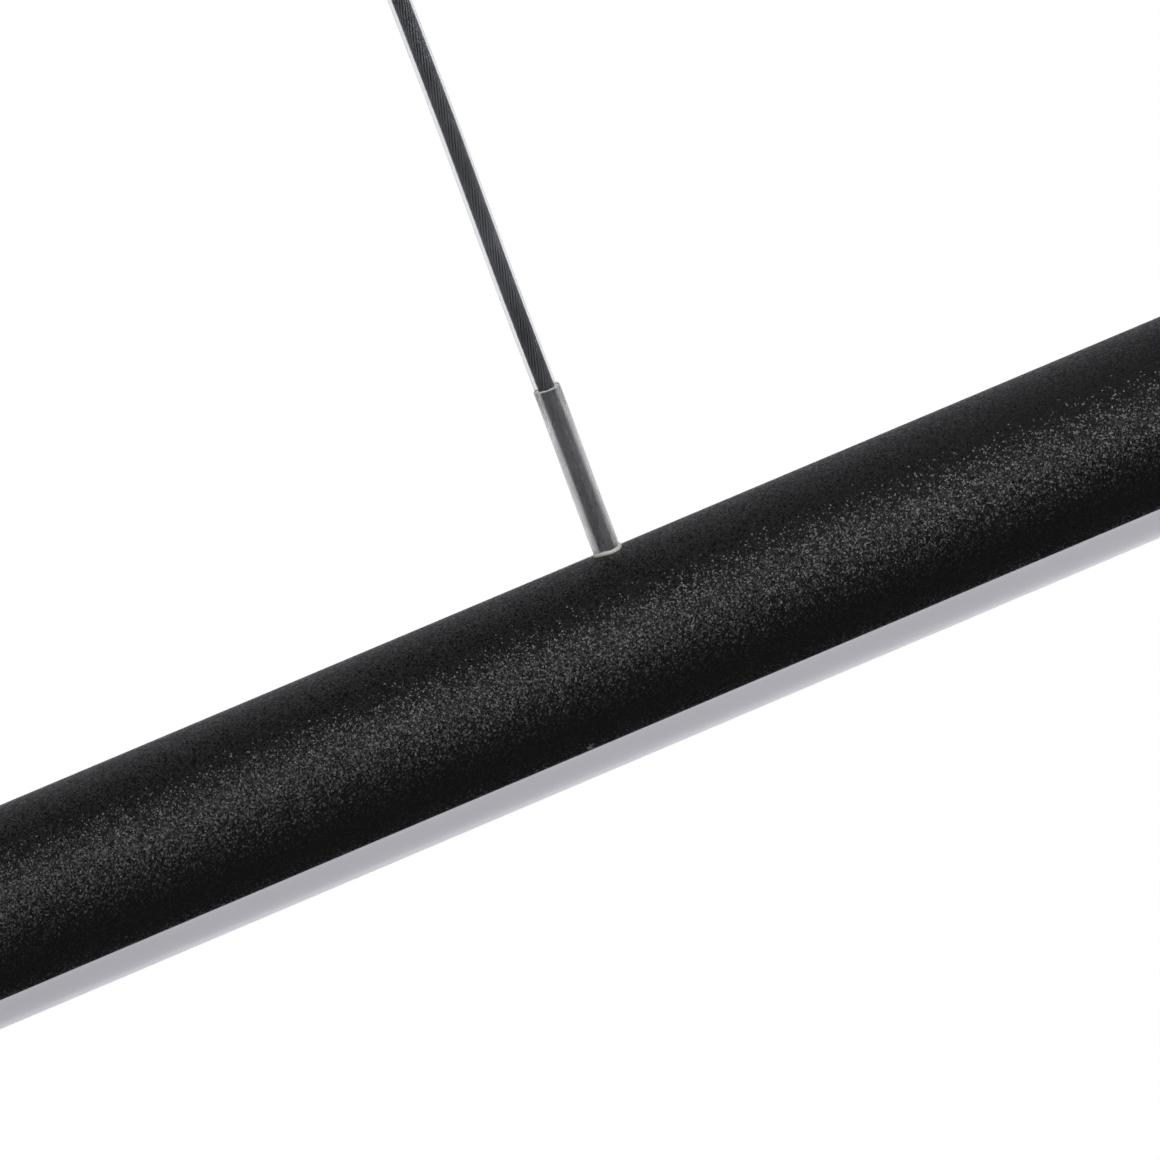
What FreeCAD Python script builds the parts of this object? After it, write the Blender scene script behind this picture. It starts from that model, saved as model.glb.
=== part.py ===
"""A linear pendant light: a round black aluminium tube with an opal diffuser along its underside.

Two clear-jacketed suspension cables carry the tube and its current. Each rises from a clear sleeve in
the tube's top to a swivelling cable gripper in a long ceiling canopy, which also hides the LED driver.

Row frame, in millimetres: X along the tube, Y across it, Z up, and the origin on the ceiling plane
above the tube's middle, so that everything hangs below z = 0.
"""

import FreeCAD, Part
import math
import os
import re

import Sketcher

DIMENSIONS = {
    # lamp tube: an aluminium extrusion, closed by a cap at each end
    "tube_length": 600.0,  # over the end caps
    "tube_radius": 12.5,
    "tube_wall": 1.2,
    "tube_drop": 158.0,  # ceiling to the tube's axis
    "opening_angle": 53.5,  # half of the arc that the diffuser fills, from straight down
    "seam_angle": 0.45,  # gap between tube and diffuser on each side
    "web_top": 2.5,  # web that carries the LED board, above the axis
    "web_thickness": 1.5,
    "port_offset": 7.5,  # screw ports for the end caps, out from the middle
    "port_height": 5.5,
    "port_radius": 2.3,
    "port_bore": 0.95,
    "catch_depth": 0.4,  # groove that the diffuser's barbs snap into
    "catch_start": 62.5,  # its angles, from straight down
    "catch_end": 66.5,
    # diffuser
    "diffuser_wall": 1.5,
    "leg_outer": 11.15,
    "leg_inner": 10.2,
    "barb_reach": 11.55,
    # end caps
    "cap_thickness": 3.0,
    "cap_edge": 0.8,
    "plug_radius": 9.9,
    "plug_depth": 3.0,
    "cap_screw_head": 2.15,
    "cap_screw_shank": 0.85,
    "cap_screw_length": 9.0,
    # LED board
    "board_length": 580.0,
    "board_width": 12.0,
    "board_thickness": 1.0,
    "led_pitch": 10.0,
    "led_length": 3.5,
    "led_width": 2.8,
    "led_height": 0.8,
    "board_screw_inner": 80.0,  # screw places, out from the middle
    "board_screw_outer": 240.0,
    "board_screw_radius": 1.0,
    # suspension cables
    "cable_spacing": 300.0,
    "jacket_radius": 1.4,
    "core_radius": 0.62,
    "sleeve_radius": 1.7,
    "sleeve_wall": 0.2,
    "sleeve_rise": 21.6,  # above the tube's top
    "cable_hole": 1.8,
    "saddle_length": 12.0,
    "saddle_width": 9.0,
    "saddle_bottom": 8.6,  # above the axis
    "saddle_gap": 0.05,
    "ferrule_radius": 2.3,
    "ferrule_length": 5.0,
    "solder_radius": 1.3,
    "solder_height": 0.7,
    # cable end above the gripper
    "end_cap_radius": 2.3,
    "end_cap_bottom": 23.5,  # below the ceiling
    "end_cap_length": 5.0,
    "end_cap_grip": 3.0,  # length of jacket inside it
    # ceiling canopy
    "canopy_length": 360.0,
    "canopy_width": 44.0,
    "canopy_height": 36.0,
    "canopy_wall": 1.2,
    "canopy_corner": 5.0,
    "canopy_edge": 1.6,
    "canopy_screw_drop": 7.0,
    "canopy_screw_hole": 1.6,
    # ceiling bracket
    "bracket_length": 356.8,
    "bracket_width": 30.0,
    "bracket_thickness": 1.5,
    "tab_width": 18.0,
    "tab_height": 12.0,
    "screw_radius": 1.45,  # M3 shank, in holes of hole_radius
    "hole_radius": 1.5,
    "ceiling_hole_spacing": 200.0,
    "ceiling_hole_radius": 2.5,
    "mains_place": 120.0,
    "mains_hole": 6.0,
    # swivel gripper, about the middle of its ball
    "ball_rise": 4.0,  # middle of the ball above the canopy's underside
    "ball_radius": 8.0,
    "ball_gap": 0.15,
    "ball_top": 6.5,
    "ball_flat": 6.2,
    "socket_radius": 10.0,
    "socket_top": 6.0,
    "socket_opening": 6.5,
    "flange_radius": 12.5,
    "flange_height": 2.0,
    "nut_flats": 26.0,
    "nut_height": 3.0,
    "barrel_radius": 4.4,
    "barrel_end": 24.0,
    "spigot_radius": 3.45,
    "spigot_top": 2.6,
    "chamber_radius": 2.95,
    "cone_start": 14.0,
    "cone_end": 20.0,
    "cone_mouth": 2.3,
    "bore_radius": 1.75,
    "nozzle_radius": 2.2,
    "nozzle_bore": 1.55,
    "nozzle_end": 28.5,
    "collar_radius": 2.7,
    "collar_top": 11.8,
    "collar_height": 1.0,
    "tip_radius": 2.9,
    "tip_height": 1.9,
    "jaw_radius": 0.7,
    "jaw_place": 2.15,
    "jaw_drop": 14.4,
    "spring_radius": 2.45,
    "spring_wire": 0.18,  # half the thickness of its square wire
    "spring_top": 2.85,
    "spring_length": 8.7,
    "spring_turns": 6.0,
    # LED driver, under the bracket
    "driver_start": -85.0,
    "driver_length": 125.0,
    "driver_width": 28.0,
    "driver_height": 20.0,
    "driver_wall": 1.2,
    "driver_ear": 7.0,
    "lid_thickness": 1.5,
    "circuit_thickness": 1.6,
    "lead_radius": 0.8,
    "lead_drop": 9.0,  # height of the driver's leads, below the ceiling
    # terminal block, clamp and earth point
    "block_place": 66.0,
    "block_length": 20.0,
    "block_width": 24.0,
    "block_height": 13.0,
    "pole_pitch": 7.5,
    "clamp_place": 87.0,
    "clamp_length": 24.0,
    "clamp_width": 5.0,
    "clamp_height": 3.0,
    "clamp_gap": 6.0,
    "earth_place": 51.5,
    "earth_side": 10.0,
}

SIDES = (("left", -1), ("right", 1))
TUBE_Z = "-tube_drop"
BALL_Z = "-(canopy_height - ball_rise)"
END_Z = "-end_cap_bottom"
HALF_TUBE = "(tube_length / 2 - cap_thickness)"

doc = FreeCAD.newDocument("LinearPendantLight")
dims = doc.addObject("Spreadsheet::Sheet", "Dims")
for row, (alias, number) in enumerate(DIMENSIONS.items(), start=1):
    dims.set(f"A{row}", alias)
    dims.set(f"B{row}", str(number))
    dims.setAlias(f"B{row}", alias)
doc.recompute()

subparts = []


# ---------------------------------------------------------------- expressions and placement
def bound(text):
    """The expression with each cell's alias written as the sheet's property."""
    return re.sub(r"[a-z][a-z_]+", lambda m: "Dims." + m[0] if m[0] in DIMENSIONS else m[0], text)


def size(text):
    """The number that an expression of aliases has now."""
    return float(doc.Dims.evalExpression(bound(text).replace("Dims.", "")))


def place(obj, x="0", y="0", z="0"):
    for axis, text in zip("xyz", (x, y, z)):
        obj.setExpression(f"Placement.Base.{axis}", bound(text))
    return obj


def turn(obj, axis, angle):
    obj.Placement = FreeCAD.Placement(obj.Placement.Base, FreeCAD.Rotation(FreeCAD.Vector(*axis), angle))
    return obj


def turned_x(obj, sign=1):
    """Turns what stands along Z to point along X, or along -X."""
    return turn(obj, (0, 1, 0), 90 * sign)


def upended(obj):
    return turn(obj, (1, 0, 0), 180)


def subpart(obj, label):
    """Names a finished sub-part; its label names its file."""
    obj.Label = label
    subparts.append(obj)
    return obj


def at_cable(sign):
    """X of the cable on that side."""
    return f"{sign} * cable_spacing / 2"


# ---------------------------------------------------------------- sketches
def sketch(owner, plane, offset="0"):
    made = owner.newObject("Sketcher::SketchObject", "Sketch")
    support = next(o for o in owner.Origin.OriginFeatures if o.Role == plane)
    made.AttachmentSupport = [(support, "")]
    made.MapMode = "FlatFace"
    made.setExpression("AttachmentOffset.Base.z", bound(offset))
    return made


def constrain(profile, kind, *args, value=None):
    """Adds a constraint; value is the expression that drives it."""
    if value is None:
        return profile.addConstraint(Sketcher.Constraint(kind, *args))
    index = profile.addConstraint(Sketcher.Constraint(kind, *args, size(value)))
    profile.setExpression(f"Constraints[{index}]", bound(value))
    return index


def polygon(profile, points):
    """A closed outline through points given as pairs of expressions."""
    at = [FreeCAD.Vector(size(x), size(y), 0) for x, y in points]
    first = profile.GeometryCount
    count = len(at)
    for i in range(count):
        profile.addGeometry(Part.LineSegment(at[i], at[(i + 1) % count]), False)
    for i in range(count):
        constrain(profile, "Coincident", first + i, 2, first + (i + 1) % count, 1)
    for i, (x, y) in enumerate(points):
        constrain(profile, "DistanceX", -1, 1, first + i, 1, value=x)
        constrain(profile, "DistanceY", -1, 1, first + i, 1, value=y)


def rectangle(profile, x0, y0, x1, y1):
    polygon(profile, [(x0, y0), (x1, y0), (x1, y1), (x0, y1)])


def circle(profile, x, y, radius):
    centre = FreeCAD.Vector(size(x), size(y), 0)
    index = profile.addGeometry(Part.Circle(centre, FreeCAD.Vector(0, 0, 1), size(radius)), False)
    constrain(profile, "Radius", index, value=radius)
    constrain(profile, "DistanceX", -1, 1, index, 3, value=x)
    constrain(profile, "DistanceY", -1, 1, index, 3, value=y)


def ring_sector(profile, inner, outer, start, end):
    """Part of a ring about the origin; the angles are in degrees from straight down."""
    def arc(radius):
        whole = Part.Circle(FreeCAD.Vector(), FreeCAD.Vector(0, 0, 1), size(radius))
        angles = [math.radians(size(a) - 90) for a in (start, end)]
        index = profile.addGeometry(Part.ArcOfCircle(whole, *angles), False)
        constrain(profile, "Coincident", index, 3, -1, 1)
        constrain(profile, "Radius", index, value=radius)
        for point, angle in ((1, start), (2, end)):
            flat = abs(math.cos(math.radians(size(angle)))) > 0.7
            kind, value = ("DistanceX", f"sin({angle})") if flat else ("DistanceY", f"-cos({angle})")
            constrain(profile, kind, -1, 1, index, point, value=f"({radius}) * {value}")
        return index

    outside, inside = arc(outer), arc(inner)
    for point in (1, 2):
        ends = [profile.getPoint(i, point) for i in (outside, inside)]
        line = profile.addGeometry(Part.LineSegment(*ends), False)
        constrain(profile, "Coincident", line, 1, outside, point)
        constrain(profile, "Coincident", line, 2, inside, point)


# ---------------------------------------------------------------- features
def body(label, x="0", y="0", z="0"):
    return place(subpart(doc.addObject("PartDesign::Body", label), label), x, y, z)


def spare_body(x="0", y="0", z="0"):
    """A body that is only one solid of a group, or a boolean's operand."""
    return place(doc.addObject("PartDesign::Body", "Piece"), x, y, z)


def extrude(kind, owner, profile, length, symmetric, reverse):
    made = owner.newObject(kind, kind.split("::")[1])
    made.Profile = profile
    made.setExpression("Length", bound(length))
    made.SideType = "Symmetric" if symmetric else "One side"
    made.Reversed = reverse
    doc.recompute()
    return made


def pad(owner, profile, length, symmetric=False, reverse=False):
    return extrude("PartDesign::Pad", owner, profile, length, symmetric, reverse)


def pocket(owner, profile, length, symmetric=False, reverse=False):
    """Cuts to a length, and stops the build if nothing was cut."""
    before = owner.Shape.Volume
    made = extrude("PartDesign::Pocket", owner, profile, length, symmetric, reverse)
    if owner.Shape.Volume > before - 1e-3:
        raise ValueError(f"a pocket of {owner.Label} cuts nothing")
    return made


def edges_where(shape, test):
    return [f"Edge{i}" for i, edge in enumerate(shape.Edges, start=1) if test(edge)]


def fillet(owner, radius, test):
    made = owner.newObject("PartDesign::Fillet", "Fillet")
    tip = owner.Tip if owner.Tip != made else made.BaseFeature
    made.Base = (tip, edges_where(tip.Shape, test))
    made.setExpression("Radius", bound(radius))
    doc.recompute()
    return made


def hollow(owner, wall, test):
    """Shells the body inwards, open at the faces that the test names."""
    made = owner.newObject("PartDesign::Thickness", "Thickness")
    tip = made.BaseFeature
    faces = [f"Face{i}" for i, face in enumerate(tip.Shape.Faces, start=1) if test(face)]
    made.Base = (tip, faces)
    made.setExpression("Value", bound(wall))
    made.Reversed = True
    doc.recompute()
    return made


def turned(owner, points):
    """A solid of revolution about the body's Z axis, from pairs of radius and height."""
    profile = sketch(owner, "XZ_Plane")
    polygon(profile, points)
    made = owner.newObject("PartDesign::Revolution", "Revolution")
    made.Profile = profile
    made.ReferenceAxis = (profile, ["V_Axis"])
    made.Angle = 360
    doc.recompute()
    return owner


def tube(owner, outer, inner, length):
    """A plain tube from the body's XY plane upwards."""
    profile = sketch(owner, "XY_Plane")
    circle(profile, "0", "0", outer)
    circle(profile, "0", "0", inner)
    pad(owner, profile, length)
    return owner


def box(x, y, z, length, width, height):
    """A Part box given by its lowest corner."""
    made = doc.addObject("Part::Box", "Block")
    for name, text in (("Length", length), ("Width", width), ("Height", height)):
        made.setExpression(name, bound(text))
    return place(made, x, y, z)


def cylinder(x, y, z, radius, height):
    made = doc.addObject("Part::Cylinder", "Round")
    made.setExpression("Radius", bound(radius))
    made.setExpression("Height", bound(height))
    return place(made, x, y, z)


def boolean(kind, base, tool):
    made = doc.addObject(f"Part::{kind}", kind)
    made.Base = base
    made.Tool = tool
    doc.recompute()
    return made


def group(label, solids):
    """Separate solids that share one node."""
    made = doc.addObject("Part::Compound", label)
    made.Links = solids
    doc.recompute()
    return subpart(made, label)


def cross_recess(owner, reach, half_width, depth):
    """A cross-shaped driver slot in the top of a turned screw, cut downwards from its XY plane."""
    long, short = reach, half_width
    quarter = [(long, f"-{short}"), (long, short), (short, short)]
    points = []
    for _ in range(4):
        points += quarter
        quarter = [(f"-({y})", x) for x, y in quarter]
    profile = sketch(owner, "XY_Plane")
    polygon(profile, points)
    pocket(owner, profile, depth)


def screw(owner, head, head_height, shank, length, countersunk=False):
    """A screw whose head's top is on the XY plane and whose shank points down."""
    under = shank if countersunk else head
    turned(
        owner,
        [
            ("0", "0"),
            (f"{head} - 0.15", "0"),
            (head, "-0.15"),
            (under, f"-({head_height})"),
            (shank, f"-({head_height})"),
            (shank, f"-({length}) + 0.3"),
            (f"({shank}) * 0.6", f"-({length})"),
            ("0", f"-({length})"),
        ]
        if not countersunk
        else [
            ("0", "0"),
            (head, "0"),
            (shank, f"-({head_height})"),
            (shank, f"-({length}) + 0.6"),
            (f"({shank}) * 0.4", f"-({length})"),
            ("0", f"-({length})"),
        ],
    )
    cross_recess(owner, f"({head}) * 0.62", f"({head}) * 0.15", f"({head_height}) * 0.6")
    return owner


# ---------------------------------------------------------------- ceiling canopy
def canopy_cover():
    """A folded box, open at the ceiling, with a hole for each gripper and a screw hole at each end."""
    cover = body("canopy_cover")
    outline = sketch(cover, "XY_Plane")
    rectangle(outline, "-canopy_length / 2", "-canopy_width / 2", "canopy_length / 2", "canopy_width / 2")
    pad(cover, outline, "canopy_height", reverse=True)
    floor = -size("canopy_height")
    fillet(cover, "canopy_corner", lambda e: abs(e.tangentAt(e.FirstParameter).z) > 0.9)
    fillet(cover, "canopy_edge", lambda e: abs(e.BoundBox.ZMax - floor) < 1e-3)
    hollow(cover, "canopy_wall", lambda f: abs(f.BoundBox.ZMin) < 1e-3)
    grippers = sketch(cover, "XY_Plane")
    for _, sign in SIDES:
        circle(grippers, at_cable(sign), "0", "socket_radius + 0.1")
    pocket(cover, grippers, "canopy_height + 1")
    screws = sketch(cover, "YZ_Plane")
    circle(screws, "0", "-canopy_screw_drop", "canopy_screw_hole")
    pocket(cover, screws, "canopy_length + 2", symmetric=True)


def ceiling_bracket():
    """A steel strip against the ceiling; its end tabs take the canopy's screws."""
    strip = body("ceiling_bracket")
    plate = sketch(strip, "XY_Plane")
    rectangle(plate, "-bracket_length / 2", "-bracket_width / 2", "bracket_length / 2", "bracket_width / 2")
    pad(strip, plate, "bracket_thickness", reverse=True)
    tabs = sketch(strip, "XY_Plane")
    for _, sign in SIDES:
        outer = f"{sign} * bracket_length / 2"
        inner = f"{sign} * (bracket_length / 2 - bracket_thickness)"
        rectangle(tabs, inner, "-tab_width / 2", outer, "tab_width / 2")
    pad(strip, tabs, "tab_height", reverse=True)
    threads = sketch(strip, "YZ_Plane")
    circle(threads, "0", "-canopy_screw_drop", "hole_radius")
    pocket(strip, threads, "bracket_length + 2", symmetric=True)
    holes = sketch(strip, "XY_Plane")
    for _, sign in SIDES:
        circle(holes, f"{sign} * ceiling_hole_spacing / 2", "0", "ceiling_hole_radius")
        circle(holes, "clamp_place", f"{sign} * 8", "hole_radius")
    circle(holes, "mains_place", "0", "mains_hole")
    circle(holes, "earth_place", "-earth_side", "hole_radius")
    circle(holes, "block_place", "0", "hole_radius")
    for x in ("driver_start - driver_ear / 2", "driver_start + driver_length + driver_ear / 2"):
        circle(holes, x, "8", "hole_radius")
        circle(holes, x, "-8", "hole_radius")
    pocket(strip, holes, "bracket_thickness + 1")


def canopy_screws():
    """One at each end, through the cover into the bracket's tab."""
    made = []
    for _, sign in SIDES:
        x = f"{sign} * (canopy_length / 2 + 1.6)"
        one = screw(spare_body(x, "0", "-canopy_screw_drop"), "2.8", "1.6", "screw_radius", "6.5")
        made.append(turned_x(one, sign))
    group("canopy_screws", made)


def mains_bushing():
    """A snap-in bushing that lets the building's supply cable through the bracket."""
    turned(
        body("mains_bushing", "mains_place"),
        [
            ("4.4", "0"),
            ("mains_hole - 0.05", "0"),
            ("mains_hole - 0.05", "-bracket_thickness"),
            ("8", "-bracket_thickness"),
            ("8", "-2.6"),
            ("7.6", "-3"),
            ("6", "-3"),
            ("5.5", "-5"),
            ("4.4", "-5"),
        ],
    )


# ---------------------------------------------------------------- driver and wiring
def driver():
    start, end = "driver_start", "(driver_start + driver_length)"
    half = "driver_width / 2"
    under = "-bracket_thickness"

    case = body("driver_case", z=under)
    outline = sketch(case, "XY_Plane")
    rectangle(outline, start, f"-{half}", end, half)
    pad(case, outline, "driver_height - lid_thickness", reverse=True)
    bottom = -size("driver_height - lid_thickness")
    fillet(case, "2", lambda e: abs(e.tangentAt(e.FirstParameter).z) > 0.9)
    hollow(case, "driver_wall", lambda f: abs(f.BoundBox.ZMax - bottom) < 1e-3)
    ears = sketch(case, "XY_Plane")
    rectangle(ears, f"{start} - driver_ear", "-11.5", f"{start} + 0.5", "11.5")
    rectangle(ears, f"{end} - 0.5", "-11.5", f"{end} + driver_ear", "11.5")
    pad(case, ears, "1.5", reverse=True)
    holes = sketch(case, "XY_Plane")
    for x in (f"{start} - driver_ear / 2", f"{end} + driver_ear / 2"):
        circle(holes, x, "8", "hole_radius")
        circle(holes, x, "-8", "hole_radius")
    pocket(case, holes, "2")
    wires = sketch(case, "YZ_Plane", f"{start} + 1")
    circle(wires, "5", "bracket_thickness - lead_drop", "lead_radius + 0.2")
    pocket(case, wires, "3", symmetric=True)
    wires = sketch(case, "YZ_Plane", f"{end} - 1")
    for y in ("-7.5", "7.5", "0"):
        circle(wires, y, "bracket_thickness - lead_drop", "lead_radius + 0.2")
    pocket(case, wires, "3", symmetric=True)

    lid = body("driver_lid", z="-bracket_thickness - driver_height")
    outline = sketch(lid, "XY_Plane")
    rectangle(outline, start, f"-{half}", end, half)
    pad(lid, outline, "lid_thickness")
    fillet(lid, "2", lambda e: abs(e.tangentAt(e.FirstParameter).z) > 0.9)
    rim = sketch(lid, "XY_Plane")
    rim_y = f"({half} - driver_wall - 0.2)"
    rim_0, rim_1 = f"{start} + driver_wall + 3", f"{end} - driver_wall - 3"
    for y0, y1 in ((f"-{rim_y}", f"-{rim_y} + 1"), (f"{rim_y} - 1", rim_y)):
        rectangle(rim, rim_0, y0, rim_1, y1)
    pad(lid, rim, "lid_thickness + 2")

    board = body("driver_circuit_board", z="-bracket_thickness - 4.5")
    outline = sketch(board, "XY_Plane")
    rectangle(outline, f"{start} + 2", f"-({half} - 2)", f"{end} - 2", f"{half} - 2")
    pad(board, outline, "circuit_thickness", reverse=True)

    level = "-bracket_thickness - 4.5 - circuit_thickness"
    parts = [
        box(f"{start} + 70", "-8", f"{level} - 10", "18", "16", "10"),
        box(f"{start} + 10", "-7", f"{level} - 7", "14", "14", "7"),
        box(f"{start} + 95", "-9", f"{level} - 9", "5", "15", "9"),
        box(f"{start} + 56", "-3", f"{level} - 5", "8", "6", "5"),
        cylinder(f"{start} + 33", "5", f"{level} - 10", "4", "10"),
        cylinder(f"{start} + 45", "-5", f"{level} - 10", "4", "10"),
        cylinder(f"{start} + 110", "4", f"{level} - 8", "3.2", "8"),
    ]
    group("driver_components", parts)

    screws = []
    for x in (f"{start} - driver_ear / 2", f"{end} + driver_ear / 2"):
        for y in ("8", "-8"):
            one = spare_body(x, y, f"{under} - 1.5 - 1.6")
            screws.append(upended(screw(one, "2.6", "1.6", "screw_radius", "4.4")))
    group("driver_screws", screws)


def terminal_block():
    """Three poles across the canopy, each with a wire hole at both ends and two clamp screws."""
    block = body("terminal_block", "block_place", z="-bracket_thickness")
    outline = sketch(block, "XY_Plane")
    half_x, half_y = "block_length / 2", "block_width / 2"
    rectangle(outline, f"-{half_x}", f"-{half_y}", half_x, half_y)
    pad(block, outline, "block_height", reverse=True)
    steps = sketch(block, "YZ_Plane")
    for side in (-1, 1):
        inner = f"{side} * (pole_pitch / 2 - 0.6)"
        outer = f"{side} * (pole_pitch / 2 + 0.6)"
        rectangle(steps, inner, "-block_height", outer, "-block_height + 3")
    pocket(block, steps, "block_length + 1", symmetric=True)
    wells = sketch(block, "XY_Plane", "-block_height")
    wires = sketch(block, "YZ_Plane")
    screws = []
    for pole in (-1, 0, 1):
        y = f"{pole} * pole_pitch"
        circle(wires, y, "bracket_thickness - lead_drop", "1.5")
        for end in (-1, 1):
            x = f"{end} * 5.5"
            circle(wells, x, y, "2.1")
            one = spare_body(f"block_place + {x}", y, "-bracket_thickness - block_height + 1.4")
            screws.append(upended(screw(one, "1.9", "1.5", "1.2", "3")))
    pocket(block, wells, "4.5", reverse=True)
    pocket(block, wires, "block_length + 1", symmetric=True)
    group("terminal_screws", screws)


def small_fixings():
    """Supply cable clamp, its screws, the earth screw with its lug, and the driver's input leads."""
    clamp = body("cord_clamp", "clamp_place", z="-bracket_thickness - clamp_gap")
    outline = sketch(clamp, "XY_Plane")
    rectangle(outline, "-clamp_width / 2", "-clamp_length / 2", "clamp_width / 2", "clamp_length / 2")
    pad(clamp, outline, "clamp_height", reverse=True)
    fillet(clamp, "2", lambda e: abs(e.tangentAt(e.FirstParameter).z) > 0.9)
    holes = sketch(clamp, "XY_Plane")
    for side in (-1, 1):
        circle(holes, "0", f"{side} * 8", "hole_radius")
    pocket(clamp, holes, "clamp_height + 1")
    under = "-bracket_thickness - clamp_gap - clamp_height - 1.6"
    screws = []
    for side in (-1, 1):
        one = spare_body("clamp_place", f"{side} * 8", under)
        screws.append(upended(screw(one, "2.6", "1.6", "screw_radius", "11.5")))
    group("cord_clamp_screws", screws)

    tube(body("earth_lug", "earth_place", "-earth_side", "-bracket_thickness - 0.8"), "3.2", "1.6", "0.8")
    one = body("earth_screw", "earth_place", "-earth_side", "-bracket_thickness - 0.8 - 1.6")
    upended(screw(one, "2.6", "1.6", "screw_radius", "3.8"))

    start = "(driver_start + driver_length - driver_wall)"
    run = f"block_place - 4 - {start}"
    leads = [turned_x(cylinder(start, y, "-lead_drop", "lead_radius", run)) for y in ("0", "7.5")]
    group("driver_input_leads", leads)


def bent_wire(label, points, radius):
    """A round wire along straight runs joined by tangent arcs, through points given in the row frame."""
    at = [FreeCAD.Vector(*p) for p in points]
    edges, start = [], at[0]
    for before, corner, after in zip(at, at[1:], at[2:]):
        into = (corner - before).normalize()
        out = (after - corner).normalize()
        angle = into.getAngle(out)
        shorter = min((corner - before).Length, (after - corner).Length)
        reach = 0.45 * shorter
        bend = reach / math.tan(angle / 2)
        print(f"{label}: a turn of {math.degrees(angle):.0f} degrees with a radius of {bend:.1f} mm")
        first, last = corner - into * reach, corner + out * reach
        middle = corner + (out - into).normalize() * (bend / math.cos(angle / 2) - bend)
        edges.append(Part.LineSegment(start, first).toShape())
        edges.append(Part.Arc(first, middle, last).toShape())
        start = last
    edges.append(Part.LineSegment(start, at[-1]).toShape())
    path = Part.Wire(edges)
    section = Part.Wire([Part.makeCircle(radius, at[0], at[1] - at[0])])
    solid = path.makePipeShell([section], True, False)
    expected = math.pi * radius**2 * path.Length
    if abs(solid.Volume - expected) > 0.01 * expected:
        raise ValueError(f"{label} has the wrong volume")
    made = doc.addObject("Part::Feature", label)
    made.Shape = solid
    return subpart(made, label)


def output_leads():
    """The driver's two output leads, each looped to the top of a cable."""
    x, top = size("cable_spacing / 2"), size(f"{END_Z} + end_cap_length")
    left_end = size("driver_start + driver_wall")
    right_end = size("driver_start + driver_length - driver_wall")
    level = -size("lead_drop")
    radius = size("lead_radius")
    bent_wire(
        "output_lead_left",
        [
            (-x, 0, top),
            (-x, 0, top + 5),
            (-x + 11, 1.5, top + 9.5),
            (-x + 28, 5, level - 1.5),
            (left_end - 12, 5, level),
            (left_end, 5, level),
        ],
        radius,
    )
    bent_wire(
        "output_lead_right",
        [
            (x, 0, top),
            (x, 0, top + 5),
            (x - 11, -3, top + 9),
            (x - 27, -12, level - 2),
            (x - 50, -17, level - 5),
            (x - 88, -17, level - 5),
            (right_end + 14, -11, level),
            (right_end, -7.5, level),
        ],
        radius,
    )


# ---------------------------------------------------------------- swivel cable grippers
def sphere(x, y, z, radius, low="-90", high="90"):
    made = doc.addObject("Part::Sphere", "Ball")
    made.setExpression("Radius", bound(radius))
    made.setExpression("Angle1", bound(low))
    made.setExpression("Angle2", bound(high))
    return place(made, x, y, z)


def gripper_socket(side, sign):
    """The fixed half of the swivel: a flanged, threaded socket held in the canopy by a nut."""
    blank = spare_body(at_cable(sign), "0", BALL_Z)
    turned(
        blank,
        [
            ("socket_opening", "-ball_rise - flange_height"),
            ("flange_radius - 0.6", "-ball_rise - flange_height"),
            ("flange_radius", "-ball_rise - flange_height + 0.6"),
            ("flange_radius", "-ball_rise"),
            ("socket_radius", "-ball_rise"),
            ("socket_radius", "socket_top"),
            ("ball_radius + ball_gap", "socket_top"),
            ("ball_radius + ball_gap", "0"),
            ("socket_opening", "-ball_rise + 1"),
        ],
    )
    seat = sphere(at_cable(sign), "0", BALL_Z, "ball_radius + ball_gap")
    subpart(boolean("Cut", blank, seat), f"gripper_socket_{side}")

    nut = body(f"gripper_nut_{side}", at_cable(sign), "0", f"{BALL_Z} - ball_rise + canopy_wall")
    hexagon = sketch(nut, "XY_Plane")
    corner = "nut_flats / 2 / cos(30)"
    polygon(hexagon, [(f"{corner} * cos({60 * k})", f"{corner} * sin({60 * k})") for k in range(6)])
    circle(hexagon, "0", "0", "socket_radius + 0.05")
    pad(nut, hexagon, "nut_height")


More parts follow.
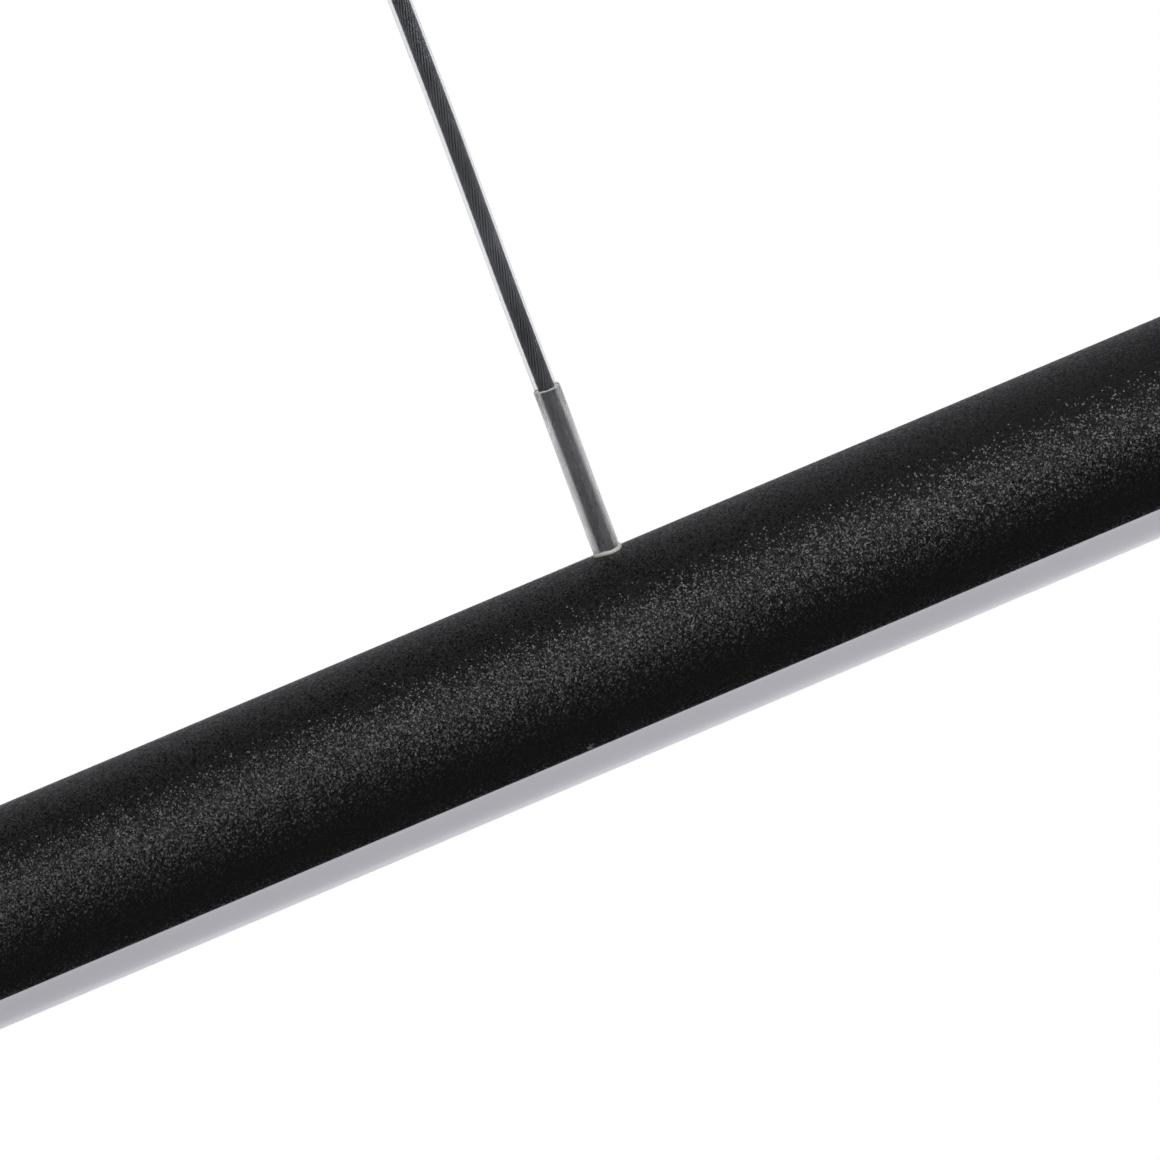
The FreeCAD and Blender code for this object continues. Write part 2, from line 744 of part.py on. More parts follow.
def gripper_body(side, sign):
    """The swinging half: a ball with the barrel screwed into it, and the nozzle, jaws and spring."""
    x = at_cable(sign)
    flat, top = "asin(ball_flat / ball_radius)", "asin(ball_top / ball_radius)"
    ball = sphere(x, "0", BALL_Z, "ball_radius", f"-{flat}", top)
    bore = turned(
        spare_body(x, "0", BALL_Z),
        [
            ("0", "-ball_radius"),
            ("spigot_radius + 0.05", "-ball_radius"),
            ("spigot_radius + 0.05", "-spigot_top + 0.1"),
            ("bore_radius", "-spigot_top + 0.1"),
            ("bore_radius", "ball_radius"),
            ("0", "ball_radius"),
        ],
    )
    subpart(boolean("Cut", ball, bore), f"gripper_ball_{side}")

    turned(
        body(f"gripper_barrel_{side}", x, "0", BALL_Z),
        [
            ("barrel_radius - 0.6", "-barrel_end"),
            ("barrel_radius", "-barrel_end + 0.6"),
            ("barrel_radius", "-barrel_end + 4"),
            ("barrel_radius - 0.3", "-barrel_end + 4.3"),
            ("barrel_radius - 0.3", "-barrel_end + 5.3"),
            ("barrel_radius", "-barrel_end + 5.6"),
            ("barrel_radius", "-ball_flat - 0.4"),
            ("barrel_radius - 0.4", "-ball_flat"),
            ("spigot_radius", "-ball_flat"),
            ("spigot_radius", "-spigot_top"),
            ("chamber_radius", "-spigot_top"),
            ("chamber_radius", "-cone_start"),
            ("cone_mouth", "-cone_end"),
            ("cone_mouth", "-barrel_end"),
        ],
    )

    nozzle = turned(
        body(f"gripper_nozzle_{side}", x, "0", BALL_Z),
        [
            ("nozzle_bore", "-nozzle_end"),
            ("tip_radius - 0.5", "-nozzle_end"),
            ("tip_radius", "-nozzle_end + 0.5"),
            ("tip_radius", "-nozzle_end + tip_height - 0.3"),
            ("tip_radius - 0.3", "-nozzle_end + tip_height"),
            ("nozzle_radius", "-nozzle_end + tip_height"),
            ("nozzle_radius", "-collar_top - collar_height"),
            ("collar_radius", "-collar_top - collar_height + 0.2"),
            ("collar_radius", "-collar_top"),
            ("nozzle_bore", "-collar_top"),
        ],
    )
    window = sketch(nozzle, "XZ_Plane")
    circle(window, "0", "-jaw_drop", "jaw_radius + 0.1")
    hole = pocket(nozzle, window, "nozzle_radius + 1")
    pattern = nozzle.newObject("PartDesign::PolarPattern", "PolarPattern")
    pattern.Originals = [hole]
    pattern.Axis = (window, ["V_Axis"])
    pattern.Angle = 360
    pattern.Occurrences = 3
    nozzle.Tip = pattern
    doc.recompute()

    jaws = []
    for k in range(3):
        angle = f"{90 + 120 * k}"
        jaw_x = f"{x} + jaw_place * cos({angle})"
        jaws.append(sphere(jaw_x, f"jaw_place * sin({angle})", f"{BALL_Z} - jaw_drop", "jaw_radius"))
    group(f"gripper_jaws_{side}", jaws)


def gripper_spring(side, sign):
    """Presses the nozzle's collar down, so that the jaws wedge between cone and cable."""
    length = size("spring_length - 2 * spring_wire")
    half = size("spring_wire")
    helix = Part.makeHelix(length / size("spring_turns"), length, size("spring_radius"))
    start = helix.Edges[0].valueAt(helix.Edges[0].FirstParameter)
    along = helix.Edges[0].tangentAt(helix.Edges[0].FirstParameter)
    out = FreeCAD.Vector(start.x, start.y, 0).normalize()
    up = along.cross(out).normalize()
    corners = [start + out * (a * half) + up * (b * half) for a, b in ((-1, -1), (1, -1), (1, 1), (-1, 1))]
    section = Part.makePolygon([*corners, corners[0]])
    made = doc.addObject("Part::Feature", f"gripper_spring_{side}")
    made.Shape = Part.Wire(helix.Edges).makePipeShell([section], True, True)
    bottom = "spring_top + spring_length - spring_wire"
    place(made, at_cable(sign), "0", f"{BALL_Z} - ({bottom})")
    return subpart(made, f"gripper_spring_{side}")


# ---------------------------------------------------------------- suspension cables
def cable(side, sign):
    """A stranded conductor in a clear jacket, from the LED board up through the gripper."""
    x = at_cable(sign)
    top = f"{END_Z} + end_cap_grip"
    board_under = f"{TUBE_Z} + web_top - web_thickness - board_thickness"

    tube(
        body(f"cable_jacket_{side}", x, "0", f"{TUBE_Z} + saddle_bottom"),
        "jacket_radius",
        "core_radius",
        f"{top} - ({TUBE_Z} + saddle_bottom)",
    )
    core = body(f"cable_core_{side}", x, "0", f"{board_under} - 0.3")
    profile = sketch(core, "XY_Plane")
    circle(profile, "0", "0", "core_radius")
    pad(core, profile, f"{top} + 1 - ({board_under} - 0.3)")

    turned(
        body(f"cable_end_cap_{side}", x, "0", END_Z),
        [
            ("jacket_radius + 0.05", "0"),
            ("end_cap_radius", "0"),
            ("end_cap_radius", "end_cap_length - 0.8"),
            ("end_cap_radius - 0.8", "end_cap_length"),
            ("0", "end_cap_length"),
            ("0", "end_cap_grip + 1"),
            ("core_radius", "end_cap_grip + 1"),
            ("core_radius", "end_cap_grip"),
            ("jacket_radius + 0.05", "end_cap_grip"),
        ],
    )
    tube(
        body(f"cable_sleeve_{side}", x, "0", f"{TUBE_Z} + tube_radius - tube_wall"),
        "sleeve_radius",
        "sleeve_radius - sleeve_wall",
        "sleeve_rise + tube_wall",
    )


def cable_anchor(side, sign):
    """Inside the tube: a saddle under its top wall, and a ferrule crimped on the bared conductor."""
    x = at_cable(sign)
    block = box(f"{x} - saddle_length / 2", "-saddle_width / 2", f"{TUBE_Z} + saddle_bottom",
                "saddle_length", "saddle_width", "tube_radius")
    arch_radius = "tube_radius - tube_wall - saddle_gap"
    arch = turned_x(cylinder(f"{x} - saddle_length", "0", TUBE_Z, arch_radius, "2 * saddle_length"))
    blank = boolean("Common", block, arch)
    hole = cylinder(x, "0", TUBE_Z, "jacket_radius + 0.1", "tube_radius")
    subpart(boolean("Cut", blank, hole), f"cable_saddle_{side}")

    bottom = f"{TUBE_Z} + saddle_bottom - ferrule_length"
    turned(
        body(f"cable_ferrule_{side}", x, "0", bottom),
        [
            ("core_radius", "0"),
            ("ferrule_radius - 0.4", "0"),
            ("ferrule_radius", "0.4"),
            ("ferrule_radius", "1.4"),
            ("ferrule_radius - 0.35", "1.9"),
            ("ferrule_radius - 0.35", "ferrule_length - 1.9"),
            ("ferrule_radius", "ferrule_length - 1.4"),
            ("ferrule_radius", "ferrule_length"),
            ("core_radius", "ferrule_length"),
        ],
    )
    turned(
        body(f"solder_joint_{side}", x, "0", f"{TUBE_Z} + web_top - web_thickness - board_thickness"),
        [
            ("core_radius", "0"),
            ("solder_radius", "0"),
            ("solder_radius * 0.8", "-solder_height * 0.5"),
            ("core_radius + 0.1", "-solder_height"),
            ("0", "-solder_height"),
            ("0", "-0.3"),
            ("core_radius", "-0.3"),
        ],
    )


# ---------------------------------------------------------------- lamp tube
def tube_housing():
    """The extrusion: a ring open below, with a web for the LED board and two screw ports."""
    housing = body("tube_housing", z=TUBE_Z)
    run = f"2 * {HALF_TUBE}"
    ring = sketch(housing, "YZ_Plane")
    ring_sector(ring, "tube_radius - tube_wall", "tube_radius", "opening_angle", "360 - opening_angle")
    pad(housing, ring, run, symmetric=True)
    web = sketch(housing, "YZ_Plane")
    reach = "(tube_radius - tube_wall / 2)"
    rectangle(web, f"-{reach}", "web_top - web_thickness", reach, "web_top")
    pad(housing, web, run, symmetric=True)
    ports = sketch(housing, "YZ_Plane")
    bores = sketch(housing, "YZ_Plane")
    catches = sketch(housing, "YZ_Plane")
    for side in (-1, 1):
        circle(ports, f"{side} * port_offset", "port_height", "port_radius")
        circle(bores, f"{side} * port_offset", "port_height", "port_bore")
        low, high = ("catch_start", "catch_end") if side > 0 else ("-catch_end", "-catch_start")
        groove = ("tube_radius - tube_wall - 0.3", "tube_radius - tube_wall + catch_depth")
        ring_sector(catches, *groove, low, high)
    pad(housing, ports, run, symmetric=True)
    pocket(housing, bores, f"{run} + 2", symmetric=True)
    pocket(housing, catches, f"{run} + 2", symmetric=True)
    entries = sketch(housing, "XY_Plane", "web_top + 1")
    wires = sketch(housing, "XY_Plane", "web_top + 1")
    for _, sign in SIDES:
        circle(entries, at_cable(sign), "0", "cable_hole")
        circle(wires, at_cable(sign), "0", "core_radius + 0.6")
        for x in ("board_screw_inner", "board_screw_outer"):
            circle(wires, f"{sign} * {x}", "0", "board_screw_radius")
    pocket(housing, entries, "tube_radius", reverse=True)
    pocket(housing, wires, "web_thickness + 2")


def diffuser():
    """An opal strip that completes the tube's round; its legs snap into the housing's grooves."""
    strip = body("diffuser", z=TUBE_Z)
    run = f"2 * {HALF_TUBE} - 0.4"
    edge = "(opening_angle - seam_angle)"
    shell = sketch(strip, "YZ_Plane")
    ring_sector(shell, "tube_radius - diffuser_wall", "tube_radius", f"-{edge}", edge)
    pad(strip, shell, run, symmetric=True)
    legs = sketch(strip, "YZ_Plane")
    barbs = sketch(strip, "YZ_Plane")
    for low, high in (("opening_angle - 6", "catch_end - 0.4"), ("0.4 - catch_end", "6 - opening_angle")):
        ring_sector(legs, "leg_inner", "leg_outer", low, high)
    for low, high in (("catch_start + 0.5", "catch_end - 0.4"), ("0.4 - catch_end", "-0.5 - catch_start")):
        ring_sector(barbs, "leg_outer - 0.2", "barb_reach", low, high)
    pad(strip, legs, run, symmetric=True)
    pad(strip, barbs, run, symmetric=True)


def end_cap(side, sign):
    """A turned cap with a plug that fits inside the diffuser, held by two countersunk screws."""
    cap = body(f"end_cap_{side}", f"{sign} * {HALF_TUBE}", z=TUBE_Z)
    disc = sketch(cap, "YZ_Plane")
    circle(disc, "0", "0", "tube_radius")
    pad(cap, disc, "cap_thickness", reverse=sign < 0)
    face = sign * size("cap_thickness")
    fillet(cap, "cap_edge", lambda e: max(abs(e.BoundBox.XMin - face), abs(e.BoundBox.XMax - face)) < 1e-3)
    plug = sketch(cap, "YZ_Plane")
    ring_sector(plug, "plug_radius - 2.4", "plug_radius", "-48", "48")
    pad(cap, plug, "plug_depth", reverse=sign > 0)
    holes = sketch(cap, "YZ_Plane")
    for y in (-1, 1):
        circle(holes, f"{y} * port_offset", "port_height", "cap_screw_shank + 0.25")
    pocket(cap, holes, "2 * cap_thickness + 1", symmetric=True)
    outward = FreeCAD.Rotation(FreeCAD.Vector(0, 1, 0), 90 * sign)
    for y in (-1, 1):
        sunk = cap.newObject("PartDesign::SubtractiveCone", "Countersink")
        sunk.setExpression("Radius1", bound("cap_screw_shank + 0.1"))
        sunk.setExpression("Radius2", bound("cap_screw_head + 0.1"))
        sunk.setExpression("Height", bound("1.7"))
        sunk.Placement = FreeCAD.Placement(FreeCAD.Vector(), outward)
        place(sunk, f"{sign} * (cap_thickness - 1.7)", f"{y} * port_offset", "port_height")
        cap.Tip = sunk
        doc.recompute()

    screws = []
    for y in (-1, 1):
        one = spare_body(f"{sign} * (tube_length / 2)", f"{y} * port_offset", f"{TUBE_Z} + port_height")
        screw(one, "cap_screw_head", "1.6", "cap_screw_shank", "cap_screw_length", countersunk=True)
        screws.append(turned_x(one, sign))
    group(f"end_cap_screws_{side}", screws)


def led_board():
    top = f"{TUBE_Z} + web_top - web_thickness"
    board = body("led_board", z=top)
    outline = sketch(board, "XY_Plane")
    rectangle(outline, "-board_length / 2", "-board_width / 2", "board_length / 2", "board_width / 2")
    pad(board, outline, "board_thickness", reverse=True)
    holes = sketch(board, "XY_Plane")
    places = [f"{sign} * {x}" for sign in (-1, 1) for x in ("board_screw_inner", "board_screw_outer")]
    for x in places:
        circle(holes, x, "0", "board_screw_radius + 0.1")
    for _, sign in SIDES:
        circle(holes, at_cable(sign), "0", "core_radius")
    pocket(board, holes, "board_thickness + 1")

    under = f"{top} - board_thickness"
    count = round(size("board_length / led_pitch"))
    chips = [
        box(
            f"({k} - {count - 1} / 2) * led_pitch - led_length / 2",
            "-led_width / 2",
            f"{under} - led_height",
            "led_length",
            "led_width",
            "led_height",
        )
        for k in range(count)
    ]
    group("leds", chips)

    screws = []
    for x in places:
        one = spare_body(x, "0", f"{under} - 0.9")
        screws.append(upended(screw(one, "1.8", "0.9", "board_screw_radius - 0.05", "3.2")))
    group("led_board_screws", screws)


# ---------------------------------------------------------------- the whole light
canopy_cover()
ceiling_bracket()
canopy_screws()
mains_bushing()
driver()
terminal_block()
small_fixings()
output_leads()
for side_name, side_sign in SIDES:
    gripper_socket(side_name, side_sign)
    gripper_body(side_name, side_sign)
    gripper_spring(side_name, side_sign)
    cable(side_name, side_sign)
    cable_anchor(side_name, side_sign)
    end_cap(side_name, side_sign)
tube_housing()
diffuser()
led_board()
doc.recompute()

for obj in doc.Objects:
    if "Invalid" in obj.State or "Error" in obj.State:
        raise ValueError(f"{obj.Label} ({obj.Name}) failed: {obj.State}")
for part in subparts:
    if part.Shape.isNull() or not part.Shape.isValid() or part.Shape.Volume <= 0:
        raise ValueError(f"{part.Label} has no valid shape")

os.makedirs("parts", exist_ok=True)
for part in subparts:
    part.Shape.exportStep(f"parts/{part.Label}.step")
print(f"{len(subparts)} sub-parts written")
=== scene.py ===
"""The looks of the linear pendant light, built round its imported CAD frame, in metres."""

import math
import random

import bmesh
import bpy
from mathutils import Matrix, Vector
from mathutils.geometry import tessellate_polygon

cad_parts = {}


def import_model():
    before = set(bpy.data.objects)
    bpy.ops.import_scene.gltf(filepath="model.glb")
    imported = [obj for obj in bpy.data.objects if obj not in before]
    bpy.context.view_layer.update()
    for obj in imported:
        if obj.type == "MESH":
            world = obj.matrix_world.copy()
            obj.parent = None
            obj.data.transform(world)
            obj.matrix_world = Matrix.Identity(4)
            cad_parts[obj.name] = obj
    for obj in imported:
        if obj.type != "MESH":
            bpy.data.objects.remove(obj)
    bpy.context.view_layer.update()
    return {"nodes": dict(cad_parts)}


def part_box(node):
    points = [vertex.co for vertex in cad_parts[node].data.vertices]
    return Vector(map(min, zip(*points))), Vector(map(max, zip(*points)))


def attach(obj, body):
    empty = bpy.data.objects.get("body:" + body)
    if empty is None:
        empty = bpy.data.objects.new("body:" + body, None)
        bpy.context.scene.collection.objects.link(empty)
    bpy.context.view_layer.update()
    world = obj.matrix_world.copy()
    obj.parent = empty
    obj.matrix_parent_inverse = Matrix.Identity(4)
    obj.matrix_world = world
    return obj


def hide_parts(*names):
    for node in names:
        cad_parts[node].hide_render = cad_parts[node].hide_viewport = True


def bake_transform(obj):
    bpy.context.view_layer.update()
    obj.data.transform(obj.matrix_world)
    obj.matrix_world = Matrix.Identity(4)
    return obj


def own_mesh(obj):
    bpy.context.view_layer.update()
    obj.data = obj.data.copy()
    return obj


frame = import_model()

MM = 0.001
SIDES = (("left", -1), ("right", 1))

# Places and sizes along the light, in metres; the top SAWN_EDGE of each sleeve is frosted.
CABLE_X = 0.15
TUBE_Z = -0.158
BALL_Z = -0.032
HOUSING_HALF = 0.297
DIFFUSER_HALF = 0.2968
SLEEVE_FOOT = -0.1467
SLEEVE_TOP = -0.1239
SAWN_EDGE = 0.0002
JACKET_RADIUS = 0.0014

# The tube's section, in millimetres about its axis, and in degrees from straight down.
TUBE_RADIUS = 12.5
TUBE_INNER = 11.3
OPENING_ANGLE = 53.5
SEAM_ANGLE = 0.45
CATCH_START = 62.5
CATCH_END = 66.5
CATCH_DEPTH = 0.4
LEG_OUTER = 11.15
LEG_INNER = 10.2
WEB_BOTTOM = 1.0
WEB_TOP = 2.5
PORT_PLACE = (7.5, 5.5)
PORT_RADIUS = 2.3
PORT_BORE = 0.95

# The suspension cable's route, from its lower end up: height, and how far it wanders sideways.
CABLE_ROUTE = (
    (-0.1494, 0.0),
    (-0.1400, 0.00002),
    (-0.1290, 0.00003),
    (-0.1200, -0.00004),
    (-0.1110, -0.00010),
    (-0.1000, 0.0),
    (-0.0880, 0.00009),
    (-0.0790, 0.00002),
    (-0.0700, -0.00005),
    (-0.0600, 0.0),
    (-0.0205, 0.0),
)


# ---------------------------------------------------------------- meshes
PRISM_CREASE = 30


def link(name, data):
    """A new object, in the scene."""
    made = bpy.data.objects.new(name, data)
    bpy.context.scene.collection.objects.link(made)
    return made


def solid(name, vertices, faces, crease=35):
    """A mesh object with outward normals, smooth except at edges sharper than crease, in degrees."""
    mesh = bpy.data.meshes.new(name)
    mesh.from_pydata([tuple(v) for v in vertices], [], faces)
    tidy(mesh)
    mesh.shade_smooth()
    mesh.set_sharp_from_angle(angle=math.radians(crease))
    return link(name, mesh)


def tidy(mesh):
    """Merges doubled vertices, drops faces without area and points the others outward."""
    work = bmesh.new()
    work.from_mesh(mesh)
    bmesh.ops.remove_doubles(work, verts=work.verts, dist=1e-7)
    bmesh.ops.dissolve_degenerate(work, edges=work.edges, dist=1e-8)
    bmesh.ops.recalc_face_normals(work, faces=work.faces)
    work.to_mesh(mesh)
    work.free()


def lathe(name, profile, centre, sides, shape=None):
    """Turns a closed outline of (radius, height) pairs, in millimetres, about a vertical axis at centre.

    shape(angle, radius, height) may change the radius, as for knurling.
    """
    vertices, faces = [], []
    count = len(profile)
    for i in range(sides):
        angle = 2 * math.pi * i / sides
        for radius, height in profile:
            r = shape(angle, radius, height) if shape else radius
            place = Vector((r * math.cos(angle), r * math.sin(angle), height))
            vertices.append(Vector(centre) + place * MM)
    for i in range(sides):
        a, b = i * count, (i + 1) % sides * count
        for j in range(count):
            k = (j + 1) % count
            if profile[j][0] < 1e-6 and profile[k][0] < 1e-6:
                continue
            faces.append((a + j, b + j, b + k, a + k))
    return solid(name, vertices, faces)


def prism(name, outline, holes, stations):
    """A solid along X, from a closed outline and its holes, with a ring of vertices at each station.

    The outline and the holes are (y, z) pairs in millimetres about the tube's axis; stations are in metres.
    """
    loops = [outline, *holes]
    section = [point for loop in loops for point in loop]
    count = len(section)
    vertices = [Vector((x, y * MM, TUBE_Z + z * MM)) for x in stations for y, z in section]
    faces = []
    start = 0
    for loop in loops:
        for j in range(len(loop)):
            a, b = start + j, start + (j + 1) % len(loop)
            for i in range(len(stations) - 1):
                faces.append((i * count + a, i * count + b, (i + 1) * count + b, (i + 1) * count + a))
        start += len(loop)
    triangles = tessellate_polygon([[Vector((y, z, 0)) for y, z in loop] for loop in loops])
    last = (len(stations) - 1) * count
    for a, b, c in triangles:
        faces.append((a, b, c))
        faces.append((last + c, last + b, last + a))
    return solid(name, vertices, faces, PRISM_CREASE)


def arc(radius, start, end, step=2.0, centre=(0, 0)):
    """(y, z) pairs along an arc; angles are in degrees from straight down, towards +Y."""
    count = max(2, math.ceil(abs(end - start) / step) + 1)
    points = []
    for i in range(count):
        angle = math.radians(start + (end - start) * i / (count - 1))
        points.append((centre[0] + radius * math.sin(angle), centre[1] - radius * math.cos(angle)))
    return points


def mirrored(points):
    """The same points on the other side of the tube, in reverse order."""
    return [(-y, z) for y, z in reversed(points)]


def cut(target, tool):
    """Subtracts tool from target and removes the tool."""
    modifier = target.modifiers.new("Cut", "BOOLEAN")
    modifier.operation = "DIFFERENCE"
    modifier.solver = "EXACT"
    modifier.object = tool
    graph = bpy.context.evaluated_depsgraph_get()
    result = bpy.data.meshes.new_from_object(target.evaluated_get(graph))
    target.modifiers.remove(modifier)
    target.data = result
    bpy.data.objects.remove(tool)


def frames_along(points):
    """Each point of a line, with two steady directions across the line there."""
    found = []
    across = None
    for i, point in enumerate(points):
        before, after = points[max(i - 1, 0)], points[min(i + 1, len(points) - 1)]
        along = (after - before).normalized()
        if across is None:
            across = along.orthogonal().normalized()
        across = (across - along * across.dot(along)).normalized()
        found.append((point, across, along.cross(across)))
    return found


def sweep(points, radius, sides, offset=None):
    """Vertices and faces of a round rod along points; offset(distance) moves its centre across the line."""
    vertices, faces = [], []
    travelled = 0.0
    for i, (point, across, other) in enumerate(frames_along(points)):
        if i:
            travelled += (point - points[i - 1]).length
        u, v = offset(travelled) if offset else (0.0, 0.0)
        centre = point + across * u + other * v
        for k in range(sides):
            angle = 2 * math.pi * k / sides
            vertices.append(centre + (across * math.cos(angle) + other * math.sin(angle)) * radius)
    for i in range(len(points) - 1):
        a, b = i * sides, (i + 1) * sides
        for k in range(sides):
            j = (k + 1) % sides
            faces.append((a + k, a + j, b + j, b + k))
    faces.append(tuple(range(sides)))
    faces.append(tuple(reversed(range((len(points) - 1) * sides, len(points) * sides))))
    return vertices, faces


def join(parts):
    """Several (vertices, faces) as one."""
    vertices, faces = [], []
    for more, its_faces in parts:
        base = len(vertices)
        vertices += more
        faces += [tuple(base + i for i in face) for face in its_faces]
    return vertices, faces


def nurbs(name, points, resolution=16):
    """A curve object that bends smoothly past its control points and ends at the first and last."""
    curve = bpy.data.curves.new(name, "CURVE")
    curve.dimensions = "3D"
    curve.resolution_u = resolution
    spline = curve.splines.new("NURBS")
    spline.points.add(len(points) - 1)
    for control, place in zip(spline.points, points):
        control.co = (*place, 1)
    spline.order_u = 3
    spline.use_endpoint_u = True
    return link(name, curve)


def line_of(curve_object):
    """The points of a curve that has no bevel."""
    mesh = bpy.data.meshes.new_from_object(curve_object)
    points = [v.co.copy() for v in mesh.vertices]
    bpy.data.meshes.remove(mesh)
    return points


def evenly(points, step):
    """The same line with points a step apart."""
    lengths = [0.0]
    for a, b in zip(points, points[1:]):
        lengths.append(lengths[-1] + (b - a).length)
    count = max(2, round(lengths[-1] / step) + 1)
    even, k = [], 0
    for i in range(count):
        want = lengths[-1] * i / (count - 1)
        while k < len(points) - 2 and lengths[k + 1] < want:
            k += 1
        share = (want - lengths[k]) / (lengths[k + 1] - lengths[k])
        even.append(points[k].lerp(points[k + 1], share))
    return even


# ---------------------------------------------------------------- materials
# The powder coat's colour and grain, and the small chip in the tube's coat, with its sizes in metres.
BLACK = (0.0038, 0.0038, 0.0044)
BARE_METAL = (0.46, 0.46, 0.47)
GRAINS_PER_METRE = 5400
GRAIN_TILT = 0.56
CHIP_ANGLE = math.radians(56.5)
CHIP = Vector((
    0.1374,
    -TUBE_RADIUS * MM * math.sin(CHIP_ANGLE),
    TUBE_Z - TUBE_RADIUS * MM * math.cos(CHIP_ANGLE),
))
CHIP_OUTER = 0.00092
CHIP_INNER = 0.00075
CHIP_RAGGED = 0.0009


class Nodes:
    """A material's node tree, with its Principled shader."""

    def __init__(self, name):
        self.material = bpy.data.materials.new(name)
        self.material.use_nodes = True
        self.tree = self.material.node_tree
        self.shader = self.tree.nodes["Principled BSDF"]
        self.place = self.tree.nodes.new("ShaderNodeTexCoord").outputs["Object"]

    def add(self, kind, inputs=None, **settings):
        """A new shader node, with its inputs fed by socket name."""
        node = self.tree.nodes.new("ShaderNode" + kind)
        for key, value in settings.items():
            setattr(node, key, value)
        for key, value in (inputs or {}).items():
            self.feed(node.inputs[key], value)
        return node

    def feed(self, socket, value):
        """Links a socket to another, or gives it a plain value."""
        if isinstance(value, bpy.types.NodeSocket):
            self.tree.links.new(value, socket)
        else:
            socket.default_value = value

    def set(self, **values):
        """Shader sockets, by name with underscores for spaces."""
        for key, value in values.items():
            self.feed(self.shader.inputs[key.replace("_", " ")], value)

    def noise(self, scale, detail=2.0, roughness=0.5, stretch=None):
        """Noise, 0 to 1, with scale features in a metre; stretch multiplies that along each axis."""
        place = self.place
        if stretch:
            place = self.add("Mapping", {"Vector": place, "Scale": stretch}).outputs["Vector"]
        inputs = {"Vector": place, "Scale": scale, "Detail": detail, "Roughness": roughness}
        return self.add("TexNoise", inputs).outputs["Fac"]

    def cells(self, scale):
        """The Color and Distance outputs of Voronoi cells, scale of them in a metre."""
        return self.add("TexVoronoi", {"Vector": self.place, "Scale": scale}).outputs

    def math(self, operation, a, b=0.0):
        node = self.add("Math", operation=operation)
        self.feed(node.inputs[0], a)
        self.feed(node.inputs[1], b)
        return node.outputs[0]

    def vector(self, operation, *values, result="Vector"):
        node = self.add("VectorMath", operation=operation)
        for socket, value in zip(node.inputs, values):
            self.feed(socket, value)
        return node.outputs[result]

    def remap(self, value, low, high, to_low=0.0, to_high=1.0):
        """A value that goes from to_low to to_high while the given one goes from low to high."""
        inputs = {"Value": value, "From Min": low, "From Max": high, "To Min": to_low, "To Max": to_high}
        return self.add("MapRange", inputs).outputs["Result"]

    def split(self, place):
        """The X, Y and Z of a place."""
        return self.add("SeparateXYZ", {"Vector": place}).outputs

    def mix(self, factor, a, b):
        node = self.add("Mix", data_type="RGBA")
        self.feed(node.inputs[0], factor)
        self.feed(node.inputs[6], (*a, 1) if isinstance(a, tuple) else a)
        self.feed(node.inputs[7], (*b, 1) if isinstance(b, tuple) else b)
        return node.outputs[2]

    def bump(self, height, strength, distance, under=None):
        """A normal that follows a height; under is a normal that it starts from."""
        inputs = {"Height": height, "Strength": strength, "Distance": distance}
        if under:
            inputs["Normal"] = under
        return self.add("Bump", inputs).outputs["Normal"]


def shade(color, factor):
    """A lighter or darker colour."""
    return tuple(min(1.0, c * factor) for c in color)


def powder_coat(name, color, chip=None):
    """Black sand-texture powder coat: fused grains a fifth of a millimetre across, each with its own tilt.

    chip is the place of a small chip in the coat.
    """
    n = Nodes(name)
    blotch = n.noise(90, 3)
    grains = n.cells(GRAINS_PER_METRE)["Color"]
    size = n.add("SeparateColor", {"Color": grains}).outputs["Red"]
    tilt = n.vector("MULTIPLY_ADD", grains, (GRAIN_TILT,) * 3, (-GRAIN_TILT / 2,) * 3)
    tilted = n.vector("NORMALIZE", n.vector("ADD", n.add("NewGeometry").outputs["Normal"], tilt))
    base = n.mix(n.remap(blotch, 0.3, 0.7), shade(color, 0.85), shade(color, 1.2))
    base = n.mix(n.remap(size, 0.9, 1.0), base, shade(color, 2.5))
    if chip:
        away = n.vector("DISTANCE", n.place, chip, result="Value")
        edge = n.math("ADD", away, n.math("MULTIPLY", n.noise(2500, 1), CHIP_RAGGED))
        worn = n.remap(n.noise(5200, 1), 0.45, 0.6)
        bare = n.math("MULTIPLY", n.remap(edge, CHIP_OUTER, CHIP_INNER), worn)
        base = n.mix(bare, base, BARE_METAL)
    n.set(
        Base_Color=base,
        Roughness=n.remap(size, 0.0, 1.0, 0.15, 0.52),
        Normal=n.bump(n.noise(1700, 2), 0.5, 0.00006, tilted),
        Specular_IOR_Level=0.42,
    )
    return n.material


def opal_plastic():
    """Milky, translucent plastic with faint lines along the way that it was drawn; its faint even emission is
    a painted glow that stands in for studio light coming through it.
    """
    n = Nodes("opal_diffuser")
    drawn = n.noise(1.0, 3, stretch=(6, 900, 900))
    cloud = n.noise(35, 2)
    base = n.mix(n.remap(cloud, 0.3, 0.7), (0.63, 0.62, 0.69), (0.67, 0.66, 0.725))
    n.set(
        Base_Color=base,
        Roughness=n.remap(drawn, 0.3, 0.7, 0.42, 0.52),
        Normal=n.bump(drawn, 0.15, 0.00003),
        Specular_IOR_Level=0.2,
        Subsurface_Weight=0.6,
        Subsurface_Radius=(1.0, 1.0, 1.0),
        Subsurface_Scale=0.0025,
        # Painted glow: a faint cool-white emission, though the diffuser's LEDs are off.
        Emission_Color=(0.97, 0.96, 1.0, 1.0),
        Emission_Strength=0.23,
    )
    return n.material


